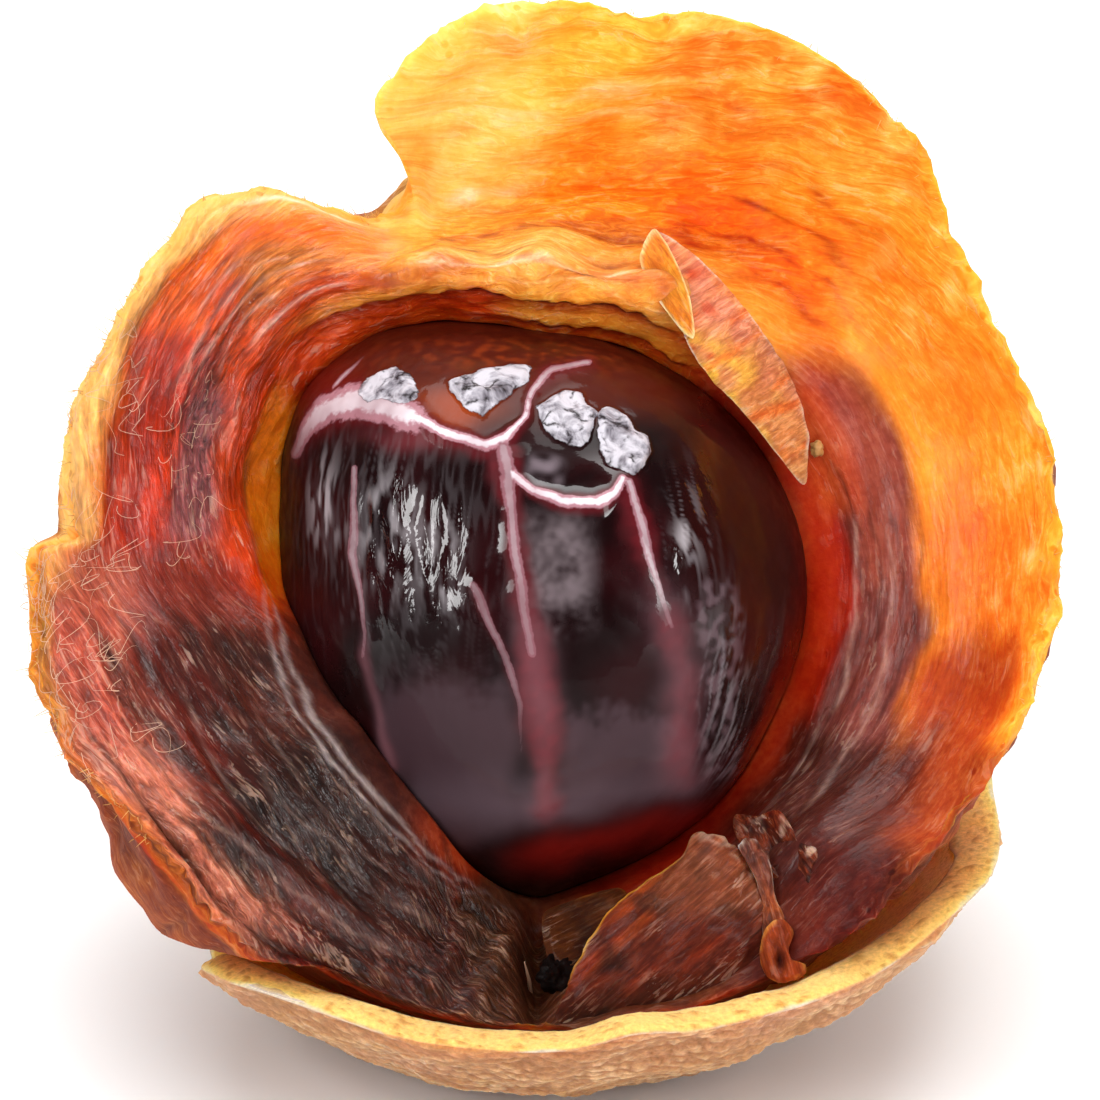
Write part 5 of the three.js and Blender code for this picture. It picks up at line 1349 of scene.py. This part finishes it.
flesh_finish = dried_flesh("dried_flesh_sticky", 0.3, 0.12)
leaf_finish = dried_flesh("dried_membrane", 0.35, 0.08)
LEAVES = (tab, sheet, sliver, sliver_end, curl, patch, strip)
for piece in (flesh, knob, *LEAVES):
    piece.data.materials.append(leaf_finish if piece in LEAVES else flesh_finish)


# %% Rind: dry, matte and woody
def dry_rind():
    material, tree = new_material("dry_rind")
    paint = add(tree, "VertexColor", layer_name="paint")
    grit = add(tree, "TexNoise", add(tree, "TexCoord").outputs["Object"], per_mm(0.12), 5.0, 0.65)
    shade = add(tree, "MapRange", grit, 0.3, 0.7, 0.7, 1.18)
    tint = add(tree, "Mix", 1.0, paint, shade, data_type="RGBA", blend_type="MULTIPLY")
    bump = add(tree, "Bump", Strength=0.7, Distance=0.05 * MM, Height=grit)
    shader = add(
        tree, "BsdfPrincipled", tint, Roughness=0.82, IOR=1.4, Normal=bump,
        Subsurface_Weight=0.8, Subsurface_Radius=(1.0, 0.6, 0.3), Subsurface_Scale=2.0 * MM,
    )
    add(tree, "OutputMaterial", shader)
    return material


rind.data.materials.append(dry_rind())


# %% Seed coat: hard and glossy as lacquer
def seed_lacquer():
    material, tree = new_material("seed_coat_lacquer")
    paint = add(tree, "VertexColor", layer_name="paint")
    place = add(tree, "TexCoord").outputs["Object"]
    lie, coating, syrup = (
        add(tree, "Attribute", attribute_name=field).outputs["Vector"] for field in ("lie", "coating", "syrup")
    )
    wrinkled, film, strength = add(tree, "SeparateXYZ", coating).outputs
    near, sugar, _ = add(tree, "SeparateXYZ", syrup).outputs
    cloudy = add(tree, "TexNoise", place, per_mm(0.5), 4.0)
    drawn = add(tree, "Mapping", lie, Scale=(1.5, 0.6, 1.0))
    wrinkle = add(tree, "TexNoise", drawn, 1.0, 3.0, 0.5, Distortion=1.3)
    ragged = add(tree, "TexNoise", place, per_mm(0.16), 4.0, 0.6)
    crumpled = add(tree, "TexNoise", place, per_mm(0.6), 4.0, 0.6, Distortion=0.5)

    def edged(level, spread, low, high):
        """A patch with a ragged edge, from a level that falls off across it."""
        rough_level = add(tree, "Math", ragged, spread, level, operation="MULTIPLY_ADD")
        return add(tree, "MapRange", rough_level, low, high, interpolation_type="SMOOTHSTEP")

    # veins: pink at the sides, nearly white in the middle, where the white is partly a painted highlight along the
    # ridge
    on_vein = add(tree, "Math", edged(near, 0.8, 0.3, 0.62), strength, operation="MULTIPLY")
    core = add(tree, "Math", edged(near, 0.8, 0.75, 1.1), strength, operation="MULTIPLY")
    vein_colour = add(tree, "Mix", core, SYRUP_PINK, SYRUP_WHITE_AND_HIGHLIGHT, data_type="RGBA")
    veined = add(tree, "Mix", on_vein, paint, vein_colour, data_type="RGBA")
    # flakes: grey and white crumples with dark pits; the white is partly a painted reflection of the top lamp, and the
    # grey to white across the crumples is painted shading
    flaky = edged(sugar, 0.5, 0.4, 0.52)
    crumple_shading = add(tree, "MapRange", crumpled, 0.4, 0.56)
    pits = add(tree, "MapRange", crumpled, 0.34, 0.4, 0.9, 0.0)
    sugar_colour = add(tree, "Mix", crumple_shading, "#6E6870", "#C2BDC5", data_type="RGBA")
    pitted_colour = add(tree, "Mix", pits, sugar_colour, SEED_BLACK, data_type="RGBA")
    flaked = add(tree, "Mix", flaky, veined, pitted_colour, data_type="RGBA")
    # the flakes are cracked: thin dark lines between plates of nearly a millimetre
    bent = add(tree, "Mix", 0.0009, place, cloudy.outputs["Color"], data_type="RGBA")
    plates = add(tree, "TexVoronoi", bent, per_mm(0.8), feature="DISTANCE_TO_EDGE")
    crack = add(tree, "MapRange", plates, 0.0, 0.1, 1.0, 0.0)
    open_here = add(tree, "MapRange", cloudy, 0.48, 0.56)
    open_crack = add(tree, "Math", crack, open_here, operation="MULTIPLY")
    cracked = add(tree, "Math", open_crack, flaky, operation="MULTIPLY")
    coat_colour = add(tree, "Mix", cracked, flaked, SEED_BLACK, data_type="RGBA")
    # gloss: a mirror where the coat is bare, dull under the film
    uneven = add(tree, "MapRange", cloudy, 0.4, 0.65, 0.12, 0.28)
    rough = add(tree, "Math", film, 0.3, uneven, operation="MULTIPLY_ADD")
    bare = add(tree, "MapRange", film, To_Min=0.9, To_Max=0.08)
    folds = add(tree, "Math", wrinkle, wrinkled, operation="MULTIPLY")
    height = add(tree, "Math", cloudy, 0.12, folds, operation="MULTIPLY_ADD")
    pitted = add(tree, "Math", crumpled, flaky, operation="MULTIPLY")
    total = add(tree, "Math", height, pitted, operation="ADD")
    bump = add(tree, "Bump", Strength=0.7, Distance=0.12 * MM, Height=total)
    shader = add(
        tree, "BsdfPrincipled", coat_colour, Roughness=rough, IOR=1.5, Normal=bump, Specular_IOR_Level=0.07,
        Coat_Weight=bare, Coat_Roughness=0.05, Coat_Normal=bump,
    )
    add(tree, "OutputMaterial", shader)
    return material


seed.data.materials.append(seed_lacquer())


# %% Fibres, bristle and crumb: dry pale fibre, darker in places
def dry_fibre(name, colour):
    material, tree = new_material(name)
    uneven = add(tree, "TexNoise", add(tree, "TexCoord").outputs["Object"], per_mm(0.6))
    ramp = add(tree, "Mix", uneven, colour, (*(linear(colour) * 0.55), 1), data_type="RGBA")
    add(tree, "OutputMaterial", add(tree, "BsdfPrincipled", ramp, Roughness=0.5))
    return material


fringe.data.materials.append(dry_fibre("dry_fibre_gold", "#E8B060"))
fibre_pale = dry_fibre("dry_fibre_pale", "#E6B89A")
threads.data.materials.append(fibre_pale)
bristle.data.materials.append(fibre_pale)
crumb.data.materials.append(dry_fibre("dry_crumb", "#C89050"))

# %% [markdown]
# ## Every piece takes its place
#
# The flesh and its torn leaves stand for one node, and so do the fibres on it. Nothing moves, so all of it
# rides on the one body.

# %% Ride and replace
for piece in (flesh, *LEAVES, knob, fringe, threads, bristle, crumb):
    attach(piece, "root")
    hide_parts("flesh")
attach(rind, "root")
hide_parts("shell")
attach(seed, "root")
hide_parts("seed")

# %% [markdown]
# ## Floor, light and camera
#
# The fruit was photographed on white, lit softly from above with a little light from behind, which is what
# makes the flap glow. A long lens far away gives the flat view of a close-up.

# %% Floor
bpy.ops.object.select_all(action="DESELECT")
bpy.ops.mesh.primitive_plane_add(size=3, location=(0, 0, 0))
floor = bpy.context.object
floor.name = "floor"
floor_material, floor_tree = new_material("white_table")
add(floor_tree, "OutputMaterial", add(
    floor_tree, "BsdfPrincipled", (0.9, 0.9, 0.9, 1), Roughness=0.9, Specular_IOR_Level=0.1
))
floor.data.materials.append(floor_material)

# %% Lights
SOFT_LIGHTS = [
    # name, direction, distance, width and height, power, whether the black seed mirrors it
    ("top_softbox", (0.0, 0.42, 1.0), 0.55, (0.6, 0.3), 3.2, True),
    ("left_softbox", (-1.0, -0.8, 0.85), 0.6, (0.16, 0.36), 2.1, True),
    ("right_softbox", (1.0, -0.8, 0.6), 0.6, (0.12, 0.36), 1.8, True),
    ("back_light", (0.2, 1.0, 0.35), 0.55, (0.4, 0.25), 1.2, True),
    ("front_fill", (0.05, -0.6, 1.0), 0.6, (0.4, 0.4), 1.8, False),
]
for name, direction, distance, size, power, mirrored in SOFT_LIGHTS:
    lamp = bpy.data.lights.new(name, "AREA")
    lamp.shape = "RECTANGLE"
    lamp.size, lamp.size_y = size
    lamp.energy = power
    holder = bpy.data.objects.new(name, lamp)
    bpy.context.collection.objects.link(holder)
    way = Vector(direction).normalized()
    holder.location = Vector((0, 0, CENTRE_HEIGHT * MM)) + way * distance
    holder.rotation_euler = (-way).to_track_quat("-Z", "Y").to_euler()
    holder.visible_glossy = mirrored

# %% Room: darker on the side that the seed mirrors
DARK_WAY = (0, -0.87, 0.49)
world = bpy.data.worlds.new("studio")
world.use_nodes = True
tree = world.node_tree
way = add(tree, "TexCoord").outputs["Generated"]
facing = add(tree, "VectorMath", way, DARK_WAY, operation="DOT_PRODUCT")
room = add(tree, "MapRange", facing, 0.55, 0.85, 0.66, 0.2, interpolation_type="SMOOTHSTEP")
tree.links.new(room.outputs["Result"], tree.nodes["Background"].inputs["Strength"])
bpy.context.scene.world = world
bpy.context.scene.view_settings.view_transform = "Standard"

# %% Camera
PICTURE_WIDTH, PICTURE_MIDDLE, CAMERA_DISTANCE = 26.8, (-0.024, -0.268, 0.0), 400
camera_data = bpy.data.cameras.new("camera")
camera = bpy.data.objects.new("camera", camera_data)
bpy.context.collection.objects.link(camera)
aim, back = upright(np.array([PICTURE_MIDDLE, (0.0, 0.0, 1.0)]))
camera.location = Vector(on_table(aim + back * CAMERA_DISTANCE))
camera.rotation_euler = Vector(-back).to_track_quat("-Z", "Y").to_euler()
camera_data.sensor_width = 36
camera_data.lens = 36 * CAMERA_DISTANCE / PICTURE_WIDTH
camera_data.clip_start, camera_data.clip_end = 0.01, 10
bpy.context.scene.camera = camera
